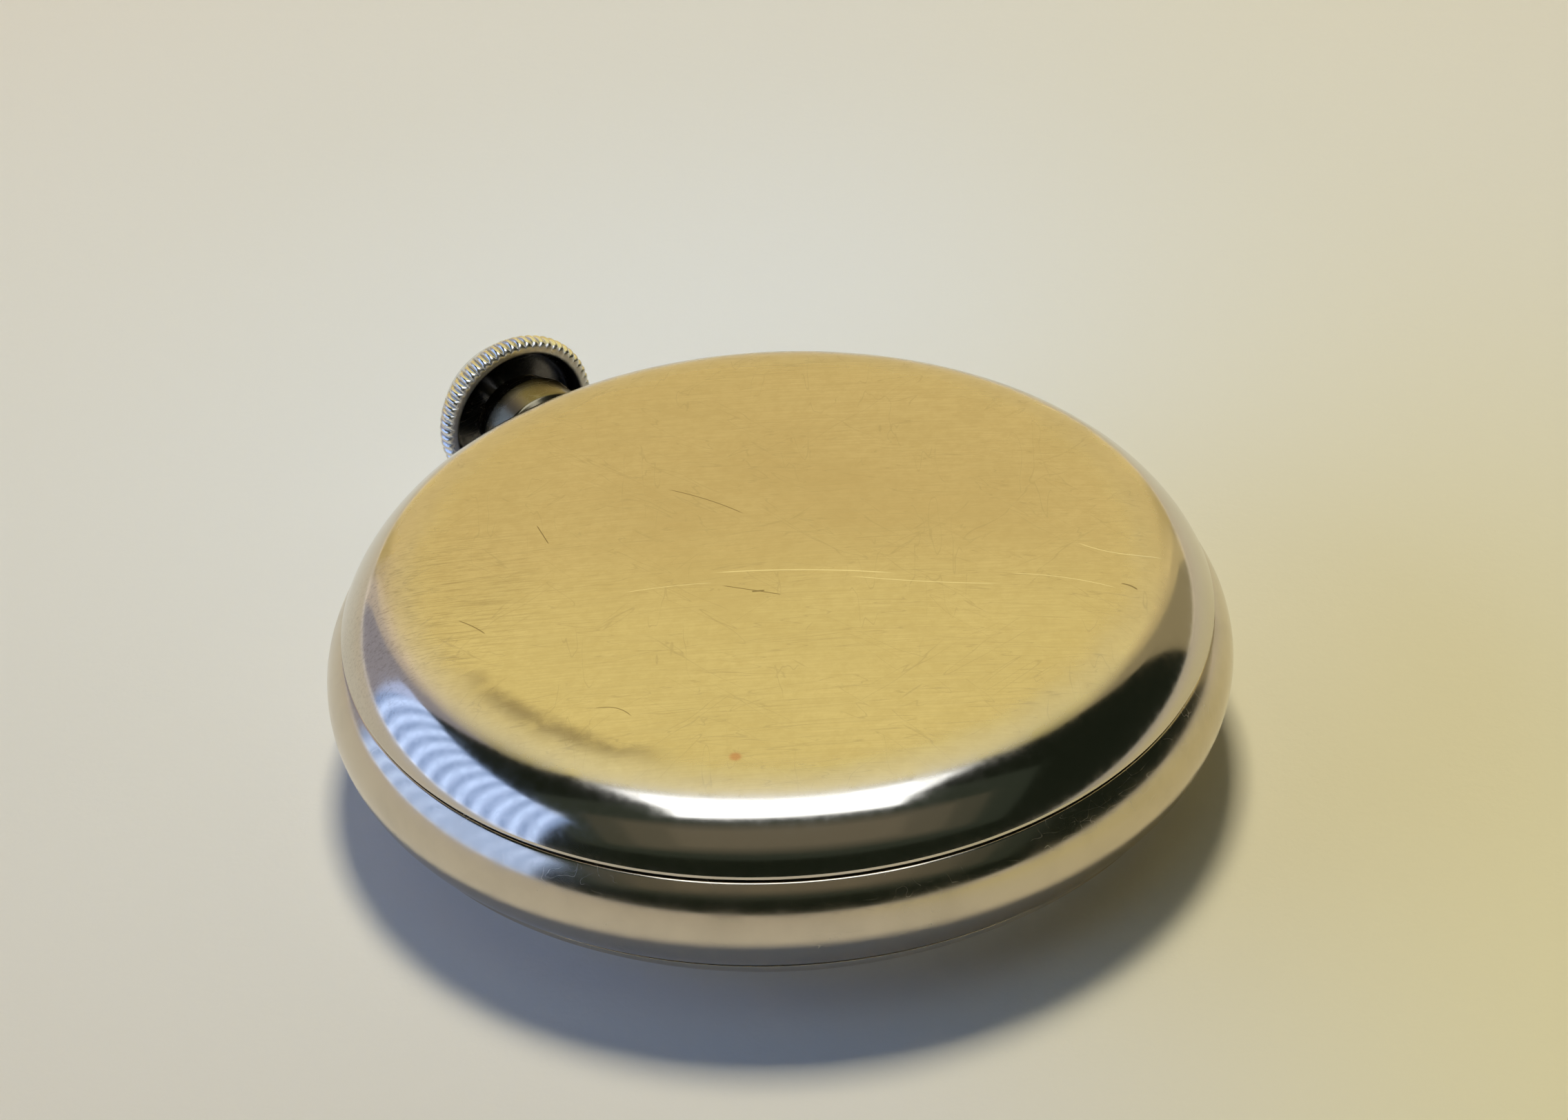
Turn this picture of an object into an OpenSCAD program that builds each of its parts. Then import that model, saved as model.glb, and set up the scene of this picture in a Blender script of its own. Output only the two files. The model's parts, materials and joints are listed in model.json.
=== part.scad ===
// Open-face pocket watch with a screw back and screw bezel, lying on its crystal.
// +Z points out of the case back, +Y points along the winding stem to the crown.
// The origin is the centre of the crystal's flat facet, the lowest point of the watch.

/* [Case] */
// Largest radius of the case middle
case_r = 25; // [24.5:0.1:26]
// Height of the widest line of the case, and of the stem axis
stem_z = 6.0; // [5.9:0.05:6.1]
// Radius of the hole that holds the movement
movement_hole_r = 21.65; // [21.6:0.01:21.7]
// Radius of the flat disc on the case back
back_disc_r = 20.9; // [20.5:0.1:21]
// Height of the middle of the case back
back_top_z = 13.3; // [13.1:0.1:13.6]
// Radius of the crystal's flat facet
facet_r = 15; // [14:0.5:16]

/* [Crown] */
// Distance from the watch's axis to the crown's open rim
crown_rim_y = 29.3; // [29:0.1:29.6]
// Largest radius of the crown
crown_r = 5.0; // [4.8:0.1:5.2]
// Number of grip flutes on the crown
crown_flutes = 60; // [40:2:72]

/* [Wheel train] */
// Teeth on the mainspring barrel
barrel_teeth = 78; // [78:1:78]
// Leaves on the centre pinion
centre_leaves = 10; // [10:1:10]
// Teeth on the centre wheel
centre_teeth = 80; // [80:1:80]
// Leaves on the third pinion
third_leaves = 10; // [10:1:10]
// Teeth on the third wheel
third_teeth = 75; // [75:1:75]
// Leaves on the fourth pinion
fourth_leaves = 10; // [10:1:10]
// Teeth on the fourth wheel
fourth_teeth = 80; // [80:1:80]
// Leaves on the escape pinion
escape_leaves = 8; // [8:1:8]
// Teeth on the escape wheel
escape_teeth = 15; // [15:1:15]

/* [Hidden] */
$fn = 96;
gap = 0.03;          // radial clearance of a running pivot

// Heights of the levels, from the crystal up
glass_t = 1.0;
bezel_lip_z = 2.4;
bezel_top_z = 2.9;
dial_z = 2.8;
dial_t = 0.4;
plate_z = 4.3;
plate_top_z = 6.0;
barrel_z = 6.25;
barrel_top_z = 7.95;
centre_wheel_z = 8.1;
third_wheel_z = 8.5;
fourth_wheel_z = 7.6;
escape_wheel_z = 6.95;
wheel_t = 0.2;
barrel_bridge_z = 8.1;
winding_floor_z = 8.4;
winding_wheel_z = 8.45;
winding_wheel_t = 0.5;
barrel_bridge_top_z = 9.1;
train_bridge_z = 8.9;
train_bridge_top_z = 10.0;
balance_z = 8.6;
balance_rim_h = 0.7;
hairspring_z = 9.5;
cock_z = 10.0;
cock_top_z = 10.9;
seam_z = 8.8;
lip_z = 8.95;

// Case radii
case_side_top_r = 23.9;
case_side_low_r = 23.3;
thread_r = 22.75;
back_thread_r = 22.45;
screw_room_r = 22.2;
plate_r = 21.45;
plate_flange_r = 22.0;
dial_r = 21.0;
glass_r = 20.62;

// Gear sizes and the places of the axes, seen from the back
barrel_module = 0.2;
centre_module = 0.16;
third_module = 0.14;
fourth_module = 0.12;
motion_module = 0.15;
function axis_distance(a, b, m) = (a + b) * m / 2;
function from(p, d, a) = [p[0] + d * cos(a), p[1] + d * sin(a)];
function bearing(p, q) = atan2(q[1] - p[1], q[0] - p[0]);
centre_at = [0, 0];
barrel_at = from(centre_at, axis_distance(barrel_teeth, centre_leaves, barrel_module), 45);
centre_third = axis_distance(centre_teeth, third_leaves, centre_module);
third_fourth = axis_distance(third_teeth, fourth_leaves, third_module);
fourth_at = [0, -9.5];
third_y = (pow(third_fourth, 2) - pow(centre_third, 2) - pow(fourth_at[1], 2)) / (-2 * fourth_at[1]);
third_at = [sqrt(pow(centre_third, 2) - pow(third_y, 2)), third_y];
escape_at = from(fourth_at, axis_distance(fourth_teeth, escape_leaves, fourth_module), 200);
escape_r = 3.5;
pallet_bearing = 145;
pallet_at = from(escape_at, escape_r / cos(30), pallet_bearing);
fork_bearing = 120;
fork_length = 4.0;
impulse_r = 0.9;
balance_at = from(pallet_at, fork_length + impulse_r, fork_bearing);
balance_r = 7.5;
cock_foot = [-16.0, 6.6];
pallet_foot = from(pallet_at, 4.2, 200);
barrel_feet = [[12, 15.3], [-5.6, 17.5], [18.7, 3.4]];
train_feet = [[17.6, -5], [7, -17.5], [-7.5, -17.3]];
case_screw_at = [for (a = [-35, 145]) from([0, 0], 20.9, a)];

// Winding work: three wheels in one chain, from the stem to the barrel arbor
pinion_teeth = 17;
crown_wheel_teeth = 30;
ratchet_teeth = 36;
winding_mesh_y = 17.2;
winding_pair = 1 + ratchet_teeth / crown_wheel_teeth;
// Pitch radius of the crown wheel that reaches both the ratchet wheel and the winding pinion
wa = winding_pair * winding_pair - 1;
wb = winding_mesh_y - barrel_at[1];
wc = pow(barrel_at[0], 2) + wb * wb;
crown_wheel_r = (-wb + sqrt(wb * wb + wa * wc)) / wa;
winding_module = 2 * crown_wheel_r / crown_wheel_teeth;
crown_wheel_at = [0, winding_mesh_y - crown_wheel_r];
ratchet_r = ratchet_teeth * winding_module / 2;
winding_tip_r = winding_wheel_z + 0.15 - stem_z;
// Part of a tooth space by which the crown wheel's nearest tooth is past the line to the ratchet wheel
mesh_steps = (90 - bearing(crown_wheel_at, barrel_at)) * crown_wheel_teeth / 360;
mesh_phase = mesh_steps - floor(mesh_steps);

// Setting work
stem_r = 0.7;
clutch_y = 13.0;
clutch_end_y = 16.2;
clutch_groove_y = 14.6;
stem_groove_y = 19.2;
lever_pivot = [3.0, stem_groove_y];
yoke_pivot = [-4.5, clutch_groove_y];
yoke_spring_foot = [-4.5, 18.6];
minute_wheel_at = [0, axis_distance(12, 36, motion_module)];
setting_teeth = 38;
setting_at = [0, minute_wheel_at[1] + axis_distance(36, setting_teeth, motion_module)];
hour_module = 2 * minute_wheel_at[1] / (10 + 40);

// ---------- shared shapes ----------

function on_circle(r, a) = [r * cos(a), r * sin(a)];

// Outline of a toothed wheel, with a tooth centred on angle 0
function teeth_outline(n, m, tip, root, tip_share, root_share) = [
    for (i = [0:n - 1], k = [0:3])
        on_circle(n * m / 2 + (k == 1 || k == 2 ? tip : -root) * m,
                  (i + (k < 2 ? -1 : 1) * (k == 1 || k == 2 ? tip_share : root_share)) * 360 / n)
];

module wheel_teeth(n, m) polygon(teeth_outline(n, m, 0.9, 1.25, 0.09, 0.27));
module leaf_teeth(n, m) polygon(teeth_outline(n, m, 0.65, 1.3, 0.10, 0.17));

module at(p, z = 0, turn = 0) translate([p[0], p[1], z]) rotate([0, 0, turn]) children();
module disc(p, r, z0, z1) translate([p[0], p[1], z0]) cylinder(r = r, h = z1 - z0);
module ring(r_out, r_in, z0, z1) difference() {
    disc([0, 0], r_out, z0, z1);
    disc([0, 0], r_in, z0 - 1, z1 + 1);
}
// Things turned about the stem's axis, with +Z of the children along the stem
module on_stem(y) translate([0, y, stem_z]) rotate([-90, 0, 0]) children();

// Flat bar with round ends
module bar(p, q, w) {
    translate(p) circle(r = w / 2);
    translate(q) circle(r = w / 2);
    translate(p) rotate([0, 0, bearing(p, q)]) translate([0, -w / 2])
        square([norm(q - p), w]);
}

// Rim, hub and arms of a going wheel
module wheel_face(n, m, hub_r, bore_r, arms) {
    rim_r = n * m / 2 - 3.4 * m;
    difference() {
        wheel_teeth(n, m);
        circle(r = bore_r);
        difference() {
            circle(r = rim_r);
            circle(r = hub_r);
            for (i = [0:arms - 1])
                rotate([0, 0, i * 360 / arms]) translate([0, -0.22]) square([rim_r + 1, 0.44]);
        }
    }
}

// Spiral strip between two radii
module spiral(r0, r1, turns, t, steps) {
    n = turns * steps;
    function spiral_at(i, side) = on_circle(r0 + (r1 - r0) * i / n + side * t / 2, i * 360 / steps);
    polygon(concat([for (i = [0:n]) spiral_at(i, 1)], [for (i = [n:-1:0]) spiral_at(i, -1)]));
}

// Slotted screw standing head up, with its head's underside at z
module slotted_screw(p, z, head_r, head_h, shank_r, shank_l, turn = 20) at(p, z, turn) difference() {
    union() {
        cylinder(r = head_r, h = head_h);
        translate([0, 0, -shank_l]) cylinder(r = shank_r, h = shank_l);
    }
    translate([-head_r, -0.1, head_h / 2]) cube([2 * head_r, 0.2, head_h]);
}

// ---------- case ----------

// Half outline of the bulged band: two arcs that meet at the widest line
module case_band_outline() {
    up = seam_z - stem_z;
    drop_up = case_r - case_side_top_r;
    up_r = (up * up + drop_up * drop_up) / (2 * drop_up);
    down = stem_z - bezel_top_z;
    drop_down = case_r - case_side_low_r;
    down_r = (down * down + drop_down * drop_down) / (2 * drop_down);
    intersection() {
        translate([case_r - up_r, stem_z]) circle(r = up_r, $fn = 200);
        translate([movement_hole_r, stem_z]) square([10, up]);
    }
    intersection() {
        translate([case_r - down_r, stem_z]) circle(r = down_r, $fn = 200);
        translate([movement_hole_r, bezel_top_z]) square([10, down]);
    }
}

module case_middle() color("silver") difference() {
    rotate_extrude() case_band_outline();
    disc([0, 0], thread_r, 0, plate_z);
    disc([0, 0], screw_room_r, plate_top_z, 20);
    disc([0, 0], back_thread_r, 7.3, 20);
    on_stem(18) cylinder(r = 1.6, h = 10);
}

module pendant() color("silver") difference() {
    union() {
        on_stem(back_thread_r + 0.05) cylinder(r = 1.57, h = 3);
        difference() {
            on_stem(24) rotate_extrude() polygon([
                [0, 0], [2.75, 0], [2.6, 1.3], [2.75, 1.7], [3.15, 2.1], [3.15, 4.2], [2.9, 4.7],
                [2.7, 5.6], [0, 5.6]
            ]);
            rotate_extrude() case_band_outline();
            disc([0, 0], movement_hole_r + 2, 0, 20);
        }
    }
    on_stem(20) cylinder(r = 1.15, h = 12);
    for (side = [-1, 1])
        translate([side * 1.95, 27.0, stem_z]) rotate([0, 90 * side, 0]) cylinder(r = 0.6, h = 3);
}

module pendant_sleeve() color("goldenrod") on_stem(screw_room_r + 0.1) difference() {
    cylinder(r = 1.13, h = 6.6);
    translate([0, 0, -1]) cylinder(r = stem_r + gap, h = 9);
}

// Half outline of the back: domed disc, sloped shoulder and upright lip. The inside follows the
// outside at wall, down to the threaded skirt
back_edge_z = 12.5;
back_lip_r = 23.95;
back_lip_top_z = 9.6;
back_wall = 0.8;
skirt_r = 21.75;
skirt_z = 7.45;
shoulder_r = 5.7;
shoulder_at = [18.69, 7.29];

module under_dome(inset, r) {
    rise = back_top_z - back_edge_z;
    dome_r = (pow(back_disc_r, 2) + rise * rise) / (2 * rise);
    intersection() {
        translate([0, back_top_z - dome_r]) circle(r = dome_r - inset, $fn = 200);
        translate([0, back_lip_top_z]) square([r, 5]);
    }
}

module under_shoulder(inset, r0, r1) intersection() {
    translate(shoulder_at) circle(r = shoulder_r - inset, $fn = 200);
    translate([r0, back_lip_top_z]) square([r1 - r0, 2.95]);
}

module back_cover() color("gold") rotate_extrude() difference() {
    union() {
        under_dome(0, back_disc_r);
        under_shoulder(0, back_disc_r - 0.5, back_lip_r);
        translate([skirt_r, lip_z]) square([back_lip_r - skirt_r, back_lip_top_z - lip_z + 0.01]);
        translate([skirt_r, skirt_z]) square([back_thread_r - 0.05 - skirt_r, 3]);
    }
    under_dome(back_wall, back_disc_r - 0.4);
    under_shoulder(back_wall, back_disc_r - 0.5, skirt_r);
    translate([0, 5]) square([skirt_r, 5.5]);
}

module back_gasket() color("dimgray") ring(23.6, back_thread_r + 0.1, seam_z, lip_z - 0.01);

module bezel() color("silver") rotate_extrude() polygon([
    [glass_r + gap, 1.55], [21.4, 1.3], [22.5, 1.75], [23.0, bezel_lip_z], [23.3, 2.5],
    [23.3, bezel_top_z - 0.1], [22.7, bezel_top_z - 0.1], [22.7, 4.15], [22.1, 4.15], [22.1, 2.75],
    [20.1, 2.75], [20.1, 2.55], [glass_r + gap, 2.55]
]);

module bezel_gasket() color("dimgray") ring(23.2, 22.78, bezel_top_z - 0.09, bezel_top_z);

// Flat-topped glass with a rounded shoulder
module crystal() {
    steps = 8;
    drop = 1.6;
    function shoulder(i, r0, r1, z0, h) =
        [r0 + (r1 - r0) * sin(i * 90 / steps), z0 + h * (1 - cos(i * 90 / steps))];
    color("lightcyan", 0.35) rotate_extrude() polygon(concat(
        [[0, 0]],
        [for (i = [0:steps]) shoulder(i, facet_r, glass_r, 0, drop)],
        [[glass_r, 2.5], [glass_r - 0.6, 2.5]],
        [for (i = [steps:-1:0]) shoulder(i, facet_r - 0.2, glass_r - 0.9, glass_t, drop - 0.2)],
        [[0, glass_t]]
    ));
}

// ---------- crown and stem ----------

module crown() color("silver") on_stem(crown_rim_y) difference() {
    rotate_extrude() polygon([
        [4.15, 0], [4.55, 0], [4.9, 0.25], [crown_r, 0.6], [4.85, 1.1], [4.4, 1.8], [3.7, 2.7],
        [2.7, 3.6], [1.5, 4.25], [0, 4.5], [0, 3.4], [stem_r, 3.4], [stem_r, 2.4], [3.3, 2.0], [4.15, 1.2]
    ]);
    for (i = [0:crown_flutes - 1])
        rotate([0, 0, i * 360 / crown_flutes]) translate([crown_r + 0.05, 0, -0.5])
            cylinder(r = 0.16, h = 1.9, $fn = 6);
}

module winding_stem() color("slategray") difference() {
    union() {
        on_stem(11.6) cylinder(r = 0.4, h = 2);
        intersection() {
            on_stem(13.2) translate([-0.5, -0.5, 0]) cube([1, 1, 3.9]);
            on_stem(13.2) cylinder(r = 0.66, h = 3.9);
        }
        on_stem(17.0) cylinder(r = stem_r, h = crown_rim_y + 3.35 - 17.0);
    }
    on_stem(stem_groove_y - 0.3) difference() {
        cylinder(r = 2, h = 0.6);
        translate([0, 0, -1]) cylinder(r = 0.35, h = 3);
    }
}

module winding_pinion() color("slategray") difference() {
    tooth_module = 2 * (winding_tip_r - 0.25) / pinion_teeth;
    union() {
        on_stem(clutch_end_y + 0.05) cylinder(r = 1.5, h = 1.9);
        on_stem(winding_mesh_y - 0.25) linear_extrude(0.5) rotate([0, 0, -90 + 180 / pinion_teeth])
            polygon(teeth_outline(pinion_teeth, tooth_module, 0.8, 1.2, 0.09, 0.26));
    }
    on_stem(15) cylinder(r = stem_r + gap, h = 6);
    for (i = [0:7])
        on_stem(clutch_end_y) rotate([0, 0, i * 45]) translate([0.85, -0.24, -1]) cube([1, 0.48, 1.3]);
}

module clutch_wheel() color("slategray") difference() {
    union() {
        on_stem(clutch_y) cylinder(r1 = 1.3, r2 = 1.5, h = 0.45);
        on_stem(clutch_y + 0.45) cylinder(r = 1.5, h = clutch_end_y - clutch_y - 0.45);
        for (i = [0:7])
            on_stem(clutch_end_y) rotate([0, 0, i * 45]) translate([0.9, -0.2, -0.1]) cube([0.5, 0.4, 0.35]);
    }
    on_stem(clutch_y - 1) translate([-0.53, -0.53, 0]) cube([1.06, 1.06, 6]);
    on_stem(clutch_groove_y - 0.375) difference() {
        cylinder(r = 3, h = 0.75);
        translate([0, 0, -1]) cylinder(r = 0.95, h = 3);
    }
    for (i = [0:7])
        on_stem(clutch_y) rotate([0, 0, i * 45 + 22.5]) translate([0.9, -0.18, -1]) cube([1, 0.36, 1.25]);
}

// ---------- plates, bridges and their jewels ----------

module pivot_hole(p, r, z0, z1) disc(p, r, z0 - 0.01, z1 + 0.01);

module main_plate() color("khaki") {
    plate_with_holes();
    disc(minute_wheel_at, 0.22, 3.4, plate_z);
    disc(setting_at, 0.47, 3.75, 5.0);
}

module plate_with_holes() difference() {
    union() {
        disc([0, 0], plate_r, plate_z, plate_top_z);
        ring(plate_flange_r, 20.8, dial_z + dial_t, plate_z);
    }
    pivot_hole(centre_at, 0.6 + gap, plate_z, plate_top_z);
    pivot_hole(barrel_at, 0.8 + gap, plate_z, plate_top_z);
    pivot_hole(fourth_at, 0.22, plate_z, plate_top_z);
    for (p = [third_at, fourth_at, escape_at, pallet_at, balance_at])
        pivot_hole(p, 0.7, 5.6, plate_top_z);
    for (p = [third_at, escape_at, pallet_at, balance_at])
        pivot_hole(p, 0.3, 5.2, 5.6);
    // Slots for the winding pinion, the clutch and the stem
    translate([-2.8, winding_mesh_y - 0.35, 3]) cube([5.6, 0.7, 4]);
    translate([-1.65, 11.9, 3]) cube([3.3, 6.7, 4]);
    on_stem(10.8) cylinder(r = 0.4 + gap, h = 3);
    on_stem(18) cylinder(r = stem_r + 0.05, h = 5);
    // Pockets under the dial for the yoke and the setting wheel
    translate([-5.3, 13.6, 3]) cube([5.2, 2.4, 2.05]);
    disc(setting_at, 3.15, 3, 5.0);
    translate([-0.7, stem_groove_y - 0.4, 3]) cube([1.15, 1.8, 4]);
    pivot_hole(lever_pivot, 0.23, plate_z, 5.6);
    for (p = concat(barrel_feet, train_feet, [cock_foot, pallet_foot], case_screw_at))
        pivot_hole(p, 0.42, 4.75, plate_top_z);
}

module feet(places, r, z1) for (p = places) difference() {
    disc(p, r, plate_top_z, z1);
    pivot_hole(p, 0.42, plate_top_z, z1);
}

module barrel_bridge() color("khaki") {
    difference() {
        at([0, 0], barrel_bridge_z) linear_extrude(barrel_bridge_top_z - barrel_bridge_z) difference() {
            intersection() {
                circle(r = 20.6);
                translate([-8, 1.2]) square([40, 40]);
            }
            circle(r = 6.8);
            translate(balance_at) circle(r = balance_r + 0.4);
            translate([-2.8, winding_mesh_y - 0.35]) square([5.6, 1.1]);
        }
        pivot_hole(barrel_at, 0.8 + gap, barrel_bridge_z, barrel_bridge_top_z);
        disc(barrel_at, ratchet_r + 0.35, winding_floor_z, 12);
        disc(crown_wheel_at, crown_wheel_r + 0.35, winding_floor_z, 12);
        at([0, 0], winding_floor_z) linear_extrude(4) click_pocket();
        pivot_hole(crown_wheel_at, 0.42, barrel_bridge_z, winding_floor_z);
        for (p = barrel_feet) {
            pivot_hole(p, 0.42, barrel_bridge_z, barrel_bridge_top_z);
            disc(p, 0.95, barrel_bridge_top_z - 0.5, 12);
        }
    }
    feet(barrel_feet, 1.35, barrel_bridge_z);
}

module train_bridge() color("khaki") {
    difference() {
        at([0, 0], train_bridge_z) linear_extrude(train_bridge_top_z - train_bridge_z) difference() {
            union() {
                intersection() {
                    circle(r = 20.6);
                    translate([-9.5, -30]) square([40, 30.9]);
                }
                circle(r = 1.9);
            }
            translate(balance_at) circle(r = balance_r + 0.4);
            translate(barrel_at) circle(r = ratchet_r + 0.5);
        }
        for (p = [centre_at, third_at, fourth_at, escape_at]) {
            pivot_hole(p, 0.3, train_bridge_z, train_bridge_top_z);
            disc(p, 0.7, train_bridge_top_z - 0.4, 12);
        }
        for (p = train_feet) {
            pivot_hole(p, 0.42, train_bridge_z, train_bridge_top_z);
            disc(p, 0.95, train_bridge_top_z - 0.5, 12);
        }
    }
    feet(train_feet, 1.35, train_bridge_z);
}

module balance_cock() color("khaki") {
    difference() {
        at([0, 0], cock_z) linear_extrude(cock_top_z - cock_z) {
            bar(cock_foot, balance_at, 3.4);
            translate(cock_foot) circle(r = 3.2);
        }
        pivot_hole(balance_at, 0.3, cock_z, cock_top_z);
        disc(balance_at, 0.7, cock_top_z - 0.4, 12);
        pivot_hole(cock_foot, 0.42, cock_z, cock_top_z);
        disc(cock_foot, 0.95, cock_top_z - 0.5, 12);
        pivot_hole(stud_at, 0.3, cock_z, cock_top_z);
    }
    feet([cock_foot], 3.2, cock_z);
}

module pallet_cock() color("khaki") {
    top = 8.2;
    difference() {
        at([0, 0], 7.55) linear_extrude(top - 7.55) bar(pallet_foot, pallet_at, 1.9);
        pivot_hole(pallet_at, 0.3, 7.55, top);
        disc(pallet_at, 0.7, top - 0.4, 12);
        pivot_hole(pallet_foot, 0.42, 7.55, top);
    }
    feet([pallet_foot], 0.95, 7.55);
}

module jewel(p, z, r_hole) difference() {
    disc(p, 0.69, z, z + 0.39);
    disc(p, r_hole, z - 1, z + 1);
}

module train_jewels() color("crimson") {
    for (p = [third_at, escape_at, pallet_at])
        jewel(p, 5.6, 0.14);
    jewel(fourth_at, 5.6, 0.19);
    for (p = [centre_at, third_at, fourth_at, escape_at])
        jewel(p, train_bridge_top_z - 0.4, p == centre_at ? 0.24 : 0.14);
    jewel(pallet_at, 7.8, 0.14);
}

module balance_jewels() color("crimson") {
    jewel(balance_at, 5.6, 0.12);
    jewel(balance_at, cock_top_z - 0.4, 0.12);
}

module case_screws() color("steelblue") for (p = case_screw_at)
    slotted_screw(p, plate_top_z, 1.1, 0.5, 0.4, 1.2);

module barrel_bridge_screws() color("steelblue") for (p = barrel_feet)
    slotted_screw(p, barrel_bridge_top_z - 0.5, 0.9, 0.45, 0.4, 3.7);

module train_bridge_screws() color("steelblue") for (p = train_feet)
    slotted_screw(p, train_bridge_top_z - 0.5, 0.9, 0.45, 0.4, 4.6);

module cock_screws() color("steelblue") {
    slotted_screw(cock_foot, cock_top_z - 0.5, 0.9, 0.45, 0.4, 5.5);
    slotted_screw(pallet_foot, 8.2, 0.8, 0.35, 0.4, 3.3);
}

// ---------- winding and setting ----------

module crown_wheel() color("silver") at(crown_wheel_at, winding_wheel_z) linear_extrude(winding_wheel_t)
    difference() {
        rotate([0, 0, 90]) wheel_teeth(crown_wheel_teeth, winding_module);
        circle(r = 1.2 + gap);
    }

module crown_wheel_screw() color("steelblue") {
    seat_z = winding_wheel_z + winding_wheel_t + 0.02;
    slotted_screw(crown_wheel_at, seat_z, 2.2, 0.4, 1.2, winding_wheel_t + 0.02);
    disc(crown_wheel_at, 0.4, barrel_bridge_z, winding_wheel_z);
    disc(crown_wheel_at, 1.2, winding_floor_z, winding_wheel_z);
}

module ratchet_wheel() color("silver") at(barrel_at, winding_wheel_z) linear_extrude(winding_wheel_t)
    difference() {
        rotate([0, 0, bearing(barrel_at, crown_wheel_at) + (0.5 - mesh_phase) * 360 / ratchet_teeth])
            wheel_teeth(ratchet_teeth, winding_module);
        square(1.16, center = true);
    }

module ratchet_screw() color("steelblue")
    slotted_screw(barrel_at, winding_wheel_z + winding_wheel_t, 1.7, 0.4, 0.3, 0.4, 65);

click_at = from(barrel_at, ratchet_r + 2.0, -38);
click_tip = from(barrel_at, ratchet_r + 0.62, -20);
click_spring_end = from(click_at, 2.4, 30);

module click_pocket() {
    bar(click_at, click_tip, 1.9);
    bar(click_at, click_spring_end, 1.4);
}

module click() color("silver") difference() {
    at([0, 0], winding_wheel_z) linear_extrude(0.4) bar(click_at, click_tip, 0.6);
    disc(click_at, 0.2, 0, 20);
}

module click_spring() color("slategray") {
    disc(click_at, 0.17, winding_floor_z, winding_wheel_z + 0.5);
    at([0, 0], winding_floor_z) linear_extrude(0.04) bar(click_at, click_spring_end, 0.3);
    disc(click_spring_end, 0.25, winding_floor_z, winding_wheel_z + 0.4);
}

module setting_lever() color("slategray") {
    at([0, 0], 3.75) linear_extrude(0.4) bar(lever_pivot, [0, stem_groove_y], 0.9);
    disc([0, stem_groove_y], 0.25, 4.1, 5.5);
    disc(lever_pivot, 0.2, 4.1, 5.5);
}

module yoke() color("slategray") difference() {
    union() {
        at([0, 0], 4.6) linear_extrude(0.35) bar(yoke_pivot, [-0.9, clutch_groove_y], 0.35);
        disc(yoke_pivot, 0.5, 4.6, 4.95);
    }
    disc(yoke_pivot, 0.2, 4, 6);
}

module yoke_spring() color("slategray") {
    disc(yoke_pivot, 0.17, 4.1, 5.05);
    at([0, 0], 4.1) linear_extrude(0.2) {
        bar(yoke_pivot, yoke_spring_foot, 0.3);
        translate(yoke_spring_foot) circle(r = 0.6);
    }
}

module setting_wheel() color("goldenrod") difference() {
    at(setting_at, 3.8, -90 + 180 / setting_teeth) linear_extrude(1.1)
        wheel_teeth(setting_teeth, motion_module);
    disc(setting_at, 0.5, 3, 6);
}

// ---------- power ----------

module mainspring_barrel() color("gold") difference() {
    union() {
        at(barrel_at, barrel_z, bearing(barrel_at, centre_at)) linear_extrude(0.5)
            wheel_teeth(barrel_teeth, barrel_module);
        disc(barrel_at, 7.25, barrel_z, 7.65);
    }
    disc(barrel_at, 6.85, 6.6, 9);
    disc(barrel_at, 0.8 + gap, 5, 9);
}

module barrel_cover() color("gold") difference() {
    disc(barrel_at, 7.25, 7.65, barrel_top_z);
    disc(barrel_at, 0.8 + gap, 5, 9);
}

module barrel_arbor() color("slategray") difference() {
    union() {
        disc(barrel_at, 0.8, 4.8, 8.42);
        disc(barrel_at, 1.5, 6.63, 7.62);
        at(barrel_at, 8.42) translate([-0.55, -0.55, 0]) cube([1.1, 1.1, 0.53]);
    }
    disc(barrel_at, 0.31, 8.5, 9);
}

module mainspring() color("steelblue") at(barrel_at, 6.65) linear_extrude(0.95)
    spiral(1.75, 6.7, 8, 0.22, 20);

// ---------- going train ----------

module going_wheel(p, z, toward, n, m, seat_r) at(p, z, toward) linear_extrude(wheel_t)
    wheel_face(n, m, seat_r + 0.7, seat_r, 5);

module centre_wheel() color("gold")
    going_wheel(centre_at, centre_wheel_z, bearing(centre_at, third_at), centre_teeth, centre_module, 0.5);

module centre_pinion() color("silver") {
    disc(centre_at, 0.45, 1.35, 4.35);
    disc(centre_at, 0.6, 4.35, 6.2);
    at(centre_at, 6.2, bearing(centre_at, barrel_at) + 180 / centre_leaves) linear_extrude(0.7)
        leaf_teeth(centre_leaves, barrel_module);
    disc(centre_at, 0.5, 6.9, 8.5);
    disc(centre_at, 0.21, 8.5, train_bridge_top_z - 0.1);
}

module third_wheel() color("gold")
    going_wheel(third_at, third_wheel_z, bearing(third_at, fourth_at), third_teeth, third_module, 0.4);

module third_pinion() color("silver") {
    disc(third_at, 0.11, 5.65, 6.1);
    disc(third_at, 0.4, 6.1, 8.75);
    at(third_at, 7.9, bearing(third_at, centre_at) + 180 / third_leaves) linear_extrude(0.55)
        leaf_teeth(third_leaves, centre_module);
    disc(third_at, 0.11, 8.75, train_bridge_top_z - 0.1);
}

module fourth_wheel() color("gold")
    going_wheel(fourth_at, fourth_wheel_z, bearing(fourth_at, escape_at), fourth_teeth, fourth_module, 0.35);

module fourth_pinion() color("silver") {
    disc(fourth_at, 0.16, 2.2, 6.1);
    disc(fourth_at, 0.35, 6.1, 8.87);
    at(fourth_at, 8.3, bearing(fourth_at, third_at) + 180 / fourth_leaves) linear_extrude(0.55)
        leaf_teeth(fourth_leaves, third_module);
    disc(fourth_at, 0.11, 8.87, train_bridge_top_z - 0.1);
}

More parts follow.
